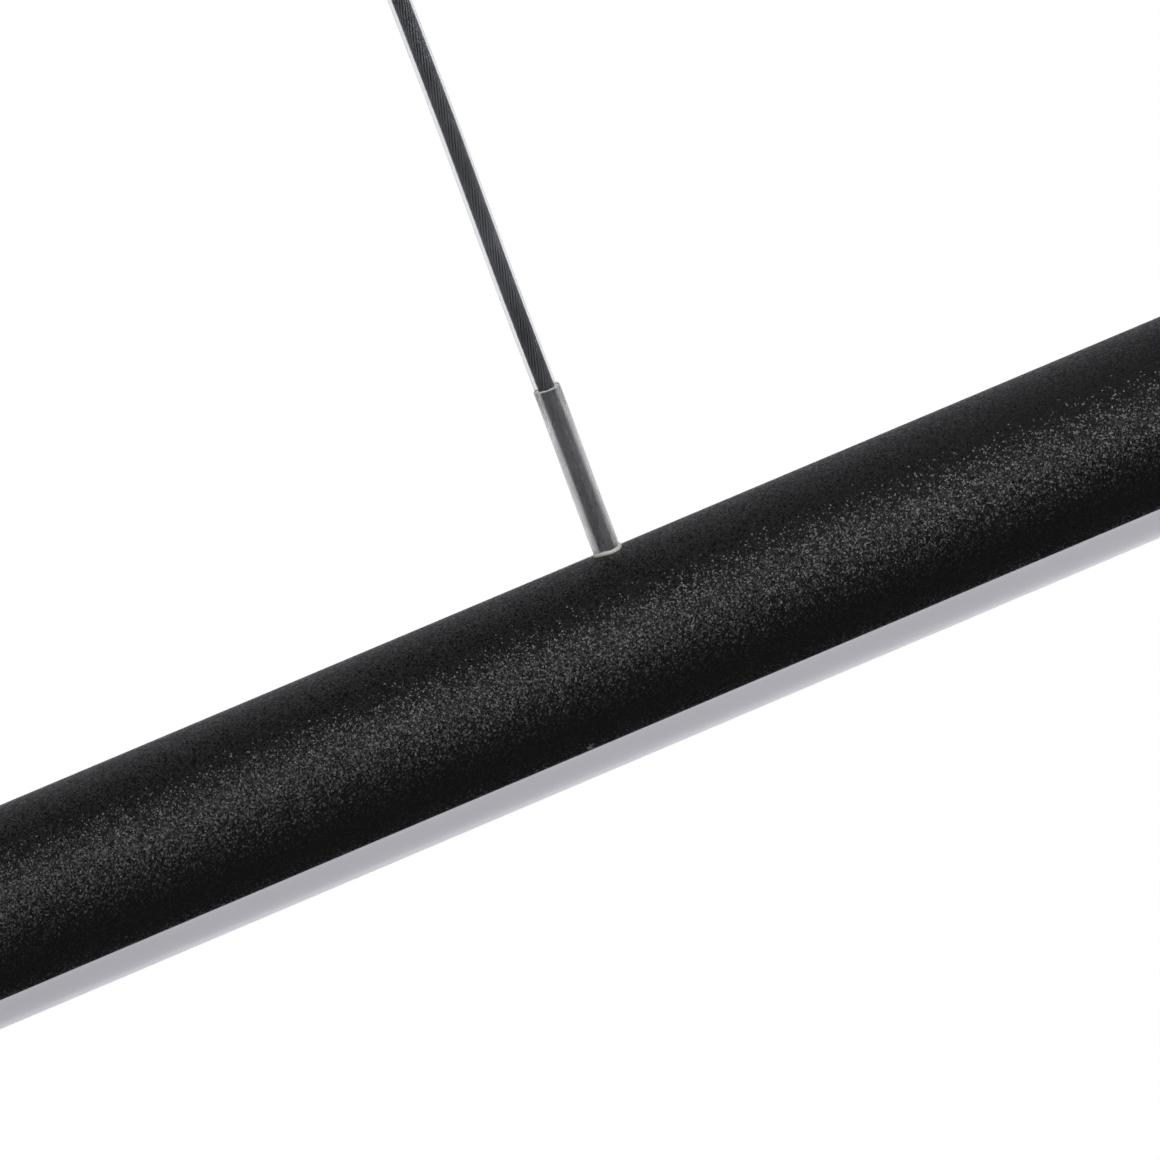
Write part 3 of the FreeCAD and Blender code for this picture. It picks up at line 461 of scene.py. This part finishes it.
def clear_plastic(name, tint, rough, dull, waves, frosted_above=None, scuffs=0.0):
    """Clear plastic with lines along the way that it was drawn.

    rough and dull are its least and most roughness, and waves is how deep its unevenness is. Above the
    height frosted_above it is frosted, as a sawn end is, and scuffs cloud the rest in patches.
    """
    n = Nodes(name)
    wave = n.noise(1.0, 2, stretch=(350, 350, 90))
    lines = n.noise(1.0, 2, stretch=(2400, 2400, 300))
    base = n.mix(n.remap(lines, 0.35, 0.7), tint, shade(tint, 0.96))
    clear = 1.0
    if frosted_above:
        level = n.split(n.place)["Z"]
        frost = n.remap(level, frosted_above, frosted_above + 0.00004)
        patch = n.remap(n.noise(150, 1), 0.48, 0.68)
        specks = n.remap(n.noise(5200, 2), 0.42, 0.7)
        scuffed = n.math("MULTIPLY", n.math("MULTIPLY", patch, specks), scuffs)
        cloudy = n.math("MAXIMUM", frost, scuffed)
        base = n.mix(cloudy, base, (0.9, 0.9, 0.88))
        clear = n.remap(cloudy, 0.0, 1.0, 1.0, 0.25)
    n.set(
        Base_Color=base,
        Roughness=n.remap(lines, 0.4, 0.75, rough, dull),
        Normal=n.bump(wave, 0.3, waves),
        Transmission_Weight=clear,
        IOR=1.5,
    )
    return n.material


def metal(name, color, rough, brush=(900, 900, 900), spots=0.1):
    """Bare or plated metal; brush is how many scratches lie in a metre of each axis."""
    n = Nodes(name)
    scratches = n.noise(1.0, 4, 0.65, stretch=brush)
    stain = n.noise(70, 3)
    n.set(
        Base_Color=n.mix(n.remap(stain, 0.3, 0.7), shade(color, 1 - spots), shade(color, 1 + spots)),
        Roughness=n.remap(scratches, 0.3, 0.7, rough - 0.08, rough + 0.1),
        Normal=n.bump(scratches, 0.2, 0.00002),
        Metallic=1.0,
    )
    return n.material


def zinc():
    """Passivated zinc plating: faint crystals and a slight yellow-blue bloom."""
    n = Nodes("zinc_plate")
    crystals = n.cells(260)["Distance"]
    bloom = n.noise(22, 3)
    silver = n.mix(n.remap(crystals, 0.1, 0.8), (0.56, 0.57, 0.58), (0.68, 0.69, 0.69))
    n.set(
        Base_Color=n.mix(n.remap(bloom, 0.42, 0.72, 0.0, 0.45), silver, (0.62, 0.58, 0.46)),
        Roughness=n.remap(crystals, 0.0, 0.9, 0.3, 0.44),
        Normal=n.bump(n.noise(1.0, 3, stretch=(60, 1800, 1800)), 0.15, 0.00002),
        Metallic=1.0,
    )
    return n.material


def plastic(name, color, rough, grain=2600, bump=0.25):
    """Moulded plastic, rubber or paint with a fine grain."""
    n = Nodes(name)
    fine = n.noise(grain, 2)
    cloud = n.noise(60, 2)
    n.set(
        Base_Color=n.mix(n.remap(cloud, 0.3, 0.7), shade(color, 0.92), shade(color, 1.08)),
        Roughness=n.remap(fine, 0.3, 0.7, rough - 0.06, rough + 0.08),
        Normal=n.bump(fine, bump, 0.00002),
    )
    return n.material


def circuit_board(name, mask, track):
    """Solder mask with faint tracks under it."""
    n = Nodes(name)
    tracks = n.add("TexBrick", {"Vector": n.place, "Scale": 160.0, "Mortar Size": 0.03})
    base = n.mix(n.math("MULTIPLY", tracks.outputs["Fac"], 0.6), mask, track)
    n.set(
        Base_Color=base,
        Roughness=n.remap(n.noise(1500), 0.3, 0.7, 0.3, 0.42),
        Normal=n.bump(tracks.outputs["Fac"], 0.3, 0.00003),
    )
    return n.material


def led_chip():
    """White package; the phosphor is the middle of each chip's face, and the chips are 10 mm apart."""
    chips_per_metre, half_length, half_width = 100.0, 0.13, 0.001
    n = Nodes("led_package")
    place = n.split(n.place)
    phase = n.math("FRACT", n.math("MULTIPLY", place["X"], chips_per_metre))
    along = n.math("LESS_THAN", n.math("ABSOLUTE", n.math("SUBTRACT", phase, 0.5)), half_length)
    across = n.math("LESS_THAN", n.math("ABSOLUTE", place["Y"]), half_width)
    inside = n.math("MULTIPLY", along, across)
    n.set(
        Base_Color=n.mix(inside, (0.86, 0.86, 0.84), (0.85, 0.62, 0.12)),
        Roughness=n.remap(n.noise(3000), 0.3, 0.7, 0.35, 0.5),
    )
    return n.material


MATERIALS = {
    "tube_coat": powder_coat("sand_powder_coat", BLACK, CHIP),
    "canopy_coat": powder_coat("canopy_powder_coat", BLACK),
    "opal": opal_plastic(),
    "jacket": clear_plastic("clear_jacket", (0.79, 0.79, 0.82), 0.15, 0.27, 0.00002),
    "sleeve": clear_plastic(
        "clear_sleeve", (0.86, 0.86, 0.865), 0.24, 0.41, 0.000012, SLEEVE_TOP - SAWN_EDGE, 0.3
    ),
    "strands": metal("tinned_strands", (0.125, 0.131, 0.137), 0.5, spots=0.3),
    "bead": plastic("cream_silicone", (0.92, 0.90, 0.82), 0.3, 1500, 0.8),
    "satin_black": metal("satin_black", (0.02, 0.02, 0.021), 0.42, spots=0.15),
    "nickel": metal("satin_nickel", (0.62, 0.6, 0.57), 0.26, (300, 300, 3000)),
    "black_oxide": metal("black_oxide", (0.035, 0.035, 0.038), 0.38, spots=0.2),
    "zinc": zinc(),
    "screw": metal("screw_zinc", (0.55, 0.55, 0.55), 0.33),
    "spring": metal("spring_wire", (0.5, 0.5, 0.5), 0.3),
    "brass": metal("turned_brass", (0.7, 0.53, 0.24), 0.3, (300, 300, 3000)),
    "solder": metal("solder", (0.66, 0.66, 0.67), 0.22),
    "black_plastic": plastic("black_plastic", (0.018, 0.018, 0.019), 0.45),
    "white_plastic": plastic("white_plastic", (0.74, 0.74, 0.72), 0.45),
    "driver": plastic("driver_case", (0.66, 0.67, 0.67), 0.5, 1800, 0.5),
    "nylon": plastic("nylon", (0.7, 0.7, 0.64), 0.4),
    "rubber": plastic("rubber", (0.03, 0.03, 0.03), 0.7, 1500, 0.5),
    "white_wire": plastic("white_wire", (0.72, 0.72, 0.7), 0.4, 500),
    "red_wire": plastic("red_wire", (0.45, 0.02, 0.02), 0.4, 500),
    "blue_wire": plastic("blue_wire", (0.03, 0.08, 0.4), 0.4, 500),
    "green_board": circuit_board("green_board", (0.02, 0.16, 0.06), (0.05, 0.28, 0.12)),
    "white_board": circuit_board("white_board", (0.78, 0.79, 0.77), (0.7, 0.72, 0.7)),
    "component": plastic("component_plastic", (0.04, 0.04, 0.05), 0.45, 1200, 0.4),
    "led": led_chip(),
}


def dress(obj, material):
    """Gives an object one material."""
    if not obj.material_slots:
        obj.data.materials.append(MATERIALS[material])
    for holder in obj.material_slots:
        holder.material = MATERIALS[material]


def piece(obj, material, slot, body, *nodes):
    """Finishes a new piece: its material, body and the CAD nodes that it stands for, which it hides; slot is
    not used.
    """
    dress(obj, material)
    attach(obj, body)
    if nodes:
        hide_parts(*nodes)


# ---------------------------------------------------------------- camera
def aim_camera():
    """A long lens, slightly above and to the left of the cable, and tilted."""
    azimuth, elevation, roll = (math.radians(a) for a in (-11.5008, 10.9982, 20.6312))
    distance, lens = 2.2, 561.2
    target = Vector((0.1456, 0, -0.14746))
    back = Vector((
        math.sin(azimuth) * math.cos(elevation),
        -math.cos(azimuth) * math.cos(elevation),
        math.sin(elevation),
    ))
    right = Vector((math.cos(azimuth), math.sin(azimuth), 0))
    up = back.cross(right)
    level = right * math.cos(roll) - up * math.sin(roll)
    upright = right * math.sin(roll) + up * math.cos(roll)
    data = bpy.data.cameras.new("Camera")
    data.lens = lens
    data.sensor_width = 36
    data.clip_start, data.clip_end = 0.1, 100
    camera = link("Camera", data)
    axes = Matrix((level, upright, back)).transposed().to_4x4()
    camera.matrix_world = Matrix.Translation(target + back * distance) @ axes
    bpy.context.scene.camera = camera


# ---------------------------------------------------------------- suspension cables
def strand_offset(radius, turn_length, phase):
    """A twisted strand's place across the cable, as a function of the distance along it."""
    def offset(distance):
        angle = phase + 2 * math.pi * distance / turn_length
        return radius * math.cos(angle), radius * math.sin(angle)
    return offset


def cable(side, sign):
    """The clear jacket, and the twisted strands that lie a little to one side inside it."""
    x = sign * CABLE_X
    aside = Vector((0.00006, 0, 0))
    strand_count, strand_radius, strand_place, turn_length = 14, 0.000123, 0.00057, 0.017
    rod_radius = 0.00042
    jacket = nurbs(f"cable_{side}", [(x + wander, 0, z) for z, wander in CABLE_ROUTE])
    low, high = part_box(f"cable_core_{side}")
    inside = [place + aside for place in line_of(jacket)]
    line = evenly([Vector((x, 0, low.z)), *inside, Vector((x, 0, high.z))], 0.0006)
    rods = [sweep(line, rod_radius, 12)]
    for k in range(strand_count):
        offset = strand_offset(strand_place, turn_length, 2 * math.pi * k / strand_count)
        rods.append(sweep(line, strand_radius, 8, offset))
    strands = solid(f"cable_{side}_strands", *join(rods), crease=60)
    piece(strands, "strands", "stranded_wire", "lamp", f"cable_core_{side}")

    jacket.data.bevel_depth = JACKET_RADIUS
    jacket.data.bevel_resolution = 8
    jacket.data.use_fill_caps = True
    piece(jacket, "jacket", "clear_plastic", "lamp", f"cable_jacket_{side}")


def sleeve(side, sign):
    """The clear sleeve round the cable's foot, leaning a little, with its cut ends slightly ragged."""
    x = sign * CABLE_X
    rng = random.Random(7 if sign > 0 else 8)
    rise = (SLEEVE_TOP - SLEEVE_FOOT) / MM
    profile = [
        (1.50, 0.0), (1.68, 0.0), (1.70, 0.08),
        (1.70, 4.0), (1.69, 9.0), (1.70, 15.0), (1.70, rise - 0.3),
        (1.695, rise - 0.06), (1.66, rise), (1.54, rise), (1.50, rise - 0.06),
        (1.50, 15.0), (1.495, 9.0), (1.50, 4.0),
    ]
    waves = [rng.uniform(0, 2 * math.pi) for _ in range(4)]
    ripple, lean, tilt, nicks = 0.012, 0.0001, 0.00004, 0.00003

    def ragged(angle, radius, height):
        outside = radius > 1.6
        return radius + ripple * math.sin(3 * angle + waves[0] + height * 0.35) * outside

    made = lathe(f"cable_sleeve_{side}_clear", profile, (x, 0, SLEEVE_FOOT), 72, ragged)
    for v in made.data.vertices:
        share = (v.co.z - SLEEVE_FOOT) / (SLEEVE_TOP - SLEEVE_FOOT)
        v.co.x += lean * share
        if share > 0.99 or share < 0.01:
            angle = math.atan2(v.co.y, v.co.x - x)
            v.co.z += tilt * math.sin(2 * angle + waves[1]) + nicks * math.sin(7 * angle + waves[2])
    piece(made, "sleeve", "clear_sleeve", "lamp", f"cable_sleeve_{side}")


def foot_bead(side, sign):
    """A cream bead of silicone that seals the sleeve in the tube's top; its sizes are in millimetres."""
    x = sign * CABLE_X
    rng = random.Random(21 if sign > 0 else 22)
    waves = [rng.uniform(0, 2 * math.pi) for _ in range(5)]
    sides, ring = 90, 10
    vertices, faces = [], []
    for i in range(sides):
        angle = 2 * math.pi * i / sides
        lump = sum(math.sin((2 + k) * angle + waves[k]) for k in range(5)) / 5
        thick = 0.26 + 0.12 * lump + 0.06 * math.cos(angle + 0.8)
        reach = 1.60 + 0.05 * lump
        lift = 0.14 + 0.08 * math.sin(3 * angle + waves[4])
        level = math.sqrt(TUBE_RADIUS**2 - (reach * math.sin(angle))**2) + lift
        for k in range(ring):
            turn = 2 * math.pi * k / ring
            r = reach + thick * math.cos(turn)
            z = level + thick * 1.1 * math.sin(turn)
            vertices.append((x + r * math.cos(angle) * MM, r * math.sin(angle) * MM, TUBE_Z + z * MM))
    for i in range(sides):
        a, b = i * ring, (i + 1) % sides * ring
        for k in range(ring):
            j = (k + 1) % ring
            faces.append((a + k, b + k, b + j, a + j))
    made = solid(f"cable_foot_bead_{side}", vertices, faces, 180)
    piece(made, "bead", "clear_sleeve", "lamp")


# ---------------------------------------------------------------- lamp tube
def circle_points(centre, radius, count):
    """(y, z) pairs round a circle."""
    points = []
    for i in range(count):
        angle = 2 * math.pi * i / count
        points.append((centre[0] + radius * math.cos(angle), centre[1] + radius * math.sin(angle)))
    return points


def point_at(radius, angle):
    """One (y, z) pair, at an angle in degrees from straight down."""
    return arc(radius, angle, angle)[0]


def wall_angle(height):
    """The angle at which the tube's inner wall reaches a height above its axis."""
    return math.degrees(math.atan2(math.sqrt(TUBE_INNER**2 - height**2), -height))


def housing_outline():
    """The outer skin, its rounded edges at the seams, and the lower cavity, where the diffuser goes."""
    edge = OPENING_ANGLE
    outer = arc(TUBE_RADIUS, edge + 0.9, 165, 2) + arc(TUBE_RADIUS, 165.5, 194.5, 0.5)
    outer += arc(TUBE_RADIUS, 195, 360 - edge - 0.9, 2)
    lip = [point_at(TUBE_RADIUS - 0.2, edge), point_at(TUBE_RADIUS - 0.05, edge + 0.25)]
    inner = arc(TUBE_INNER, edge, CATCH_START, 2) + arc(TUBE_INNER + CATCH_DEPTH, CATCH_START, CATCH_END, 2)
    inner += arc(TUBE_INNER, CATCH_END, wall_angle(WEB_BOTTOM), 2)
    inner.reverse()
    return outer + mirrored(lip) + mirrored(inner) + inner + lip


def upper_cavity():
    """The closed space above the web, with a screw port in each upper corner."""
    away = math.hypot(*PORT_PLACE)
    port_angle = math.degrees(math.atan2(PORT_PLACE[0], -PORT_PLACE[1]))
    spread = math.degrees(math.acos((away**2 + TUBE_INNER**2 - PORT_RADIUS**2) / (2 * away * TUBE_INNER)))
    below, above = port_angle - spread, port_angle + spread
    ends = []
    for angle in (below, above):
        y, z = point_at(TUBE_INNER, angle)
        ends.append(math.degrees(math.atan2(y - PORT_PLACE[0], PORT_PLACE[1] - z)))
    if ends[1] > ends[0]:
        ends[1] -= 360
    side = arc(TUBE_INNER, wall_angle(WEB_TOP), below, 3)[:-1] + arc(PORT_RADIUS, *ends, 12, PORT_PLACE)
    side += arc(TUBE_INNER, above, 180, 3)[1:]
    return side + mirrored(side)[1:]


def tube_housing():
    """The extrusion, with a flared hole in its top for each cable, and a station on each side of the hole."""
    beside = 0.004
    flare = [
        (0, 10.0), (1.8, 10.0), (1.8, 12.25), (1.83, 12.38),
        (1.92, 12.5), (2.1, 12.6), (2.1, 14.0), (0, 14.0),
    ]
    bores = [circle_points((sign * PORT_PLACE[0], PORT_PLACE[1]), PORT_BORE, 20) for _, sign in SIDES]
    stations = [-HOUSING_HALF, HOUSING_HALF]
    for _, sign in SIDES:
        stations += [sign * CABLE_X - beside, sign * CABLE_X + beside]
    made = prism("tube_housing_body", housing_outline(), [upper_cavity(), *bores], sorted(stations))
    for _, sign in SIDES:
        cut(made, lathe("Drill", flare, (sign * CABLE_X, 0, TUBE_Z), 64))
    made.data.set_sharp_from_angle(angle=math.radians(PRISM_CREASE))
    piece(made, "tube_coat", "black_aluminium", "lamp", "tube_housing")


def diffuser():
    """The opal skin, with a barbed leg inside the tube on each side."""
    edge = OPENING_ANGLE - SEAM_ANGLE
    barb = LEG_OUTER + CATCH_DEPTH
    skin = arc(TUBE_RADIUS, 0, edge - 0.7, 1.5)
    skin += [point_at(TUBE_RADIUS - 0.06, edge - 0.15), point_at(TUBE_RADIUS - 0.22, edge)]
    skin += [point_at(LEG_OUTER, edge)]
    leg = arc(LEG_OUTER, edge + 0.5, 63.0, 2) + arc(barb, 63.2, 66.1, 1.5)
    leg += [point_at(LEG_OUTER, 66.3), point_at(LEG_INNER, 66.3)] + arc(LEG_INNER, 66.0, 50.5, 2)
    inner = [point_at(10.9, 49.8)] + arc(11.0, 49.0, 0, 2)
    half = skin + leg + inner
    outline = half + mirrored(half)[1:-1]
    made = prism("diffuser_body", outline, [], [-DIFFUSER_HALF, DIFFUSER_HALF])
    piece(made, "opal", "opal_plastic", "lamp", "diffuser")


# ---------------------------------------------------------------- swivel grippers
def gripper_barrel(side, sign):
    """The turned barrel, with a knurled ring near its lower end; its sizes are in millimetres."""
    centre = (sign * CABLE_X, 0, BALL_Z)
    knurl_foot, knurl_rows = (4.4, -23.6), 10
    ridges, slant, depth = 24, math.radians(7), 0.16
    barrel = [
        (3.9, -24.0), (4.25, -23.9), knurl_foot, (4.4, -20.0), (4.3, -19.8), (4.1, -19.7),
        (4.1, -18.7), (4.3, -18.6), (4.4, -18.4), (4.4, -6.6), (4.3, -6.3), (4.0, -6.2),
        (3.45, -6.2), (3.45, -2.6), (2.95, -2.6), (2.95, -14.0), (2.3, -20.0), (2.3, -24.0),
    ]
    dense = []
    for (r0, z0), (r1, z1) in zip(barrel, barrel[1:] + barrel[:1]):
        steps = knurl_rows if (r0, z0) == knurl_foot else 1
        dense += [(r0 + (r1 - r0) * i / steps, z0 + (z1 - z0) * i / steps) for i in range(steps)]

    def knurl(angle, radius, height):
        if radius < 4.35 or not -23.5 < height < -20.1:
            return radius
        twist = slant * height
        ridge = max(abs(math.sin(ridges * (angle + twist))), abs(math.sin(ridges * (angle - twist))))
        return radius - depth * ridge**3

    made = lathe(f"gripper_barrel_{side}_body", dense, centre, 384, knurl)
    piece(made, "satin_black", "black_metal", "grippers", f"gripper_barrel_{side}")


def gripper_spring(side, sign):
    """A wound wire spring with flat end turns; on the real lamp it shortens as the nozzle below it is pushed
    up, and here it is drawn at one length.
    """
    x, wire, radius, turns = sign * CABLE_X, 0.00018, 0.00245, 7.5
    bottom, top = BALL_Z - 0.01155, BALL_Z - 0.00285
    steps, flat = 300, 0.09
    line = []
    for i in range(steps + 1):
        share = i / steps
        rise = min(1.0, max(0.0, (share - flat) / (1 - 2 * flat)))
        angle = 2 * math.pi * turns * share
        z = bottom + wire + (top - bottom - 2 * wire) * rise
        line.append(Vector((x + radius * math.cos(angle), radius * math.sin(angle), z)))
    made = solid(f"gripper_spring_{side}_wire", *sweep(line, wire, 10), crease=60)
    piece(made, "spring", "spring_steel", "grippers", f"gripper_spring_{side}")
    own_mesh(made)


# ---------------------------------------------------------------- driver leads
def lead(name, points, split_x, material, node):
    """One lead in two pieces: a loop at the cable's end and a run on to the driver.

    points go from the cable's end to the driver, and the two pieces meet at split_x.
    """
    wire = 0.0008
    guide = nurbs(name, points, 24)
    line = evenly(line_of(guide), 0.0004)
    bpy.data.objects.remove(guide)
    outward = 1 if points[0][0] > 0 else -1
    split = next(i for i, p in enumerate(line) if (p.x - split_x) * outward < 0)
    loop = solid(f"{name}_loop", *sweep(line[: split + 1], wire, 16), crease=60)
    run = solid(f"{name}_run", *sweep(line[split:], wire, 16), crease=60)
    for made in (loop, run):
        dress(made, material)
        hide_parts(node)
    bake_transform(loop)
    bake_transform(run)


def driver_leads():
    """The leads from the driver's two ends to the cables' upper ends, looping up a little before each."""
    x, top, level = CABLE_X, -0.0185, -0.009
    left = [
        (-x, 0, top), (-x, 0, top + 0.005), (-x + 0.011, 0.0015, top + 0.0095),
        (-x + 0.028, 0.005, level - 0.0015), (-0.0958, 0.005, level), (-0.0838, 0.005, level),
    ]
    right = [
        (x, 0, top), (x, 0, top + 0.005), (x - 0.011, -0.003, top + 0.009),
        (x - 0.027, -0.012, level - 0.002), (x - 0.050, -0.017, level - 0.005),
        (x - 0.088, -0.017, level - 0.005), (0.0528, -0.011, level), (0.0388, -0.0075, level),
    ]
    lead("output_lead_left", left, -x + 0.012, "white_wire", "output_lead_left")
    lead("output_lead_right", right, x - 0.012, "red_wire", "output_lead_right")


# ---------------------------------------------------------------- carried-over CAD nodes
def dress_cad_nodes():
    """Materials for the CAD nodes that show as they are."""
    finishes = {
        "canopy_coat": ["canopy_cover"],
        "tube_coat": ["end_cap_left", "end_cap_right"],
        "zinc": ["ceiling_bracket"],
        "black_oxide": ["canopy_screws", "end_cap_screws_left", "end_cap_screws_right"],
        "rubber": ["mains_bushing"],
        "driver": ["driver_case", "driver_lid"],
        "green_board": ["driver_circuit_board"],
        "component": ["driver_components"],
        "screw": [
            "driver_screws", "terminal_screws", "cord_clamp_screws", "earth_screw", "led_board_screws",
        ],
        "blue_wire": ["driver_input_leads"],
        "nylon": ["terminal_block"],
        "white_plastic": ["cord_clamp"],
        "brass": ["earth_lug"],
        "white_board": ["led_board"],
        "led": ["leds"],
    }
    for side, _ in SIDES:
        for material, stem in (
            ("satin_black", "gripper_socket"), ("nickel", "gripper_nut"), ("nickel", "gripper_ball"),
            ("nickel", "gripper_nozzle"), ("spring", "gripper_jaws"),
            ("black_plastic", "cable_end_cap"), ("white_plastic", "cable_saddle"),
            ("brass", "cable_ferrule"), ("solder", "solder_joint"),
        ):
            finishes.setdefault(material, []).append(f"{stem}_{side}")
    for material, names in finishes.items():
        for name in names:
            dress(frame["nodes"][name], material)


# ---------------------------------------------------------------- floor, lights and world
# Where each ramp of light starts and ends along Y, and how bright it is there.
FLOOR_RAMP = (0.0, 0.5, 0.12, 1.0)
WORLD_RAMP = (-0.5, 0.3, 0.20, 0.38)

# The two lamps' powers in watts, and the colours of the ramps and of the white backdrop.
KEY_POWER = 2.4
BOUNCE_POWER = 1.8
COOL_WHITE = (0.95, 0.96, 1.0, 1)
PLAIN_WHITE = (1, 1, 1, 1)


def seen_plainly(tree):
    """1 where a camera ray arrives, straight or through clear plastic, else 0."""
    path = tree.nodes.new("ShaderNodeLightPath")
    either = tree.nodes.new("ShaderNodeMath")
    either.operation = "MAXIMUM"
    tree.links.new(path.outputs["Is Camera Ray"], either.inputs[0])
    tree.links.new(path.outputs["Is Transmission Ray"], either.inputs[1])
    return either.outputs[0]


def ramp(tree, value, limits):
    """A smooth change: from the value limits[0] to limits[1], it goes from limits[2] to limits[3]."""
    made = tree.nodes.new("ShaderNodeMapRange")
    made.interpolation_type = "SMOOTHSTEP"
    tree.links.new(value, made.inputs["Value"])
    for key, limit in zip(("From Min", "From Max", "To Min", "To Max"), limits):
        made.inputs[key].default_value = limit
    return made.outputs["Result"]


def backdrop(tree, shader, along, limits):
    """White where it is seen, and elsewhere as bright as a ramp along Y makes it."""
    split = tree.nodes.new("ShaderNodeSeparateXYZ")
    tree.links.new(along, split.inputs[0])
    light = tree.nodes.new(shader)
    light.inputs["Color"].default_value = COOL_WHITE
    tree.links.new(ramp(tree, split.outputs["Y"], limits), light.inputs["Strength"])
    white = tree.nodes.new(shader)
    white.inputs["Color"].default_value = PLAIN_WHITE
    white.inputs["Strength"].default_value = 1.0
    blend = tree.nodes.new("ShaderNodeMixShader")
    tree.links.new(seen_plainly(tree), blend.inputs[0])
    tree.links.new(light.outputs[0], blend.inputs[1])
    tree.links.new(white.outputs[0], blend.inputs[2])
    return blend.outputs[0]


def floor():
    """A white floor below the lamp, brightest behind it, and seen only from above."""
    half, level = 30, -0.62
    mesh = bpy.data.meshes.new("Floor")
    corners = [(-half, -half, level), (half, -half, level), (half, half, level), (-half, half, level)]
    mesh.from_pydata(corners, [], [(0, 1, 2, 3)])
    made = link("Floor", mesh)
    material = bpy.data.materials.new("floor")
    material.use_nodes = True
    tree = material.node_tree
    tree.nodes.clear()
    output = tree.nodes.new("ShaderNodeOutputMaterial")
    place = tree.nodes.new("ShaderNodeTexCoord").outputs["Object"]
    from_below = tree.nodes.new("ShaderNodeNewGeometry").outputs["Backfacing"]
    clear = tree.nodes.new("ShaderNodeBsdfTransparent").outputs[0]
    one_way = tree.nodes.new("ShaderNodeMixShader")
    tree.links.new(from_below, one_way.inputs[0])
    tree.links.new(backdrop(tree, "ShaderNodeEmission", place, FLOOR_RAMP), one_way.inputs[1])
    tree.links.new(clear, one_way.inputs[2])
    tree.links.new(one_way.outputs[0], output.inputs[0])
    made.data.materials.append(material)


def world():
    """An even white studio, which lights the object a little more from behind."""
    made = bpy.data.worlds.new("Studio")
    bpy.context.scene.world = made
    made.use_nodes = True
    tree = made.node_tree
    tree.nodes.clear()
    output = tree.nodes.new("ShaderNodeOutputWorld")
    direction = tree.nodes.new("ShaderNodeTexCoord").outputs["Generated"]
    tree.links.new(backdrop(tree, "ShaderNodeBackground", direction, WORLD_RAMP), output.inputs[0])


def softbox(name, place, target, size, power):
    """A rectangular area light that faces target."""
    data = bpy.data.lights.new(name, "AREA")
    data.shape = "RECTANGLE"
    data.size, data.size_y = size
    data.energy = power
    made = link(name, data)
    made.location = place
    made.rotation_euler = (Vector(target) - Vector(place)).to_track_quat("-Z", "Y").to_euler()
    made.visible_camera = False
    return made


def lights():
    """A narrow key light, above and in front and slanted across the tube, and a wide one low behind it."""
    middle = Vector((0.14, 0, TUBE_Z))
    key = softbox("Key", middle + Vector((0.1, -0.61, 0.34)), middle, (0.9, 0.12), KEY_POWER)
    key.rotation_euler.rotate_axis("Z", math.radians(-48))
    low_behind = (0.3, 0.42, TUBE_Z - 0.42)
    softbox("Bounce", low_behind, (0.15, 0, TUBE_Z), (1.4, 0.3), BOUNCE_POWER)


aim_camera()
for side_name, side_sign in SIDES:
    cable(side_name, side_sign)
    sleeve(side_name, side_sign)
    foot_bead(side_name, side_sign)
    gripper_barrel(side_name, side_sign)
    gripper_spring(side_name, side_sign)
tube_housing()
diffuser()
driver_leads()
dress_cad_nodes()
floor()
world()
lights()
bpy.context.scene.view_settings.view_transform = "Standard"
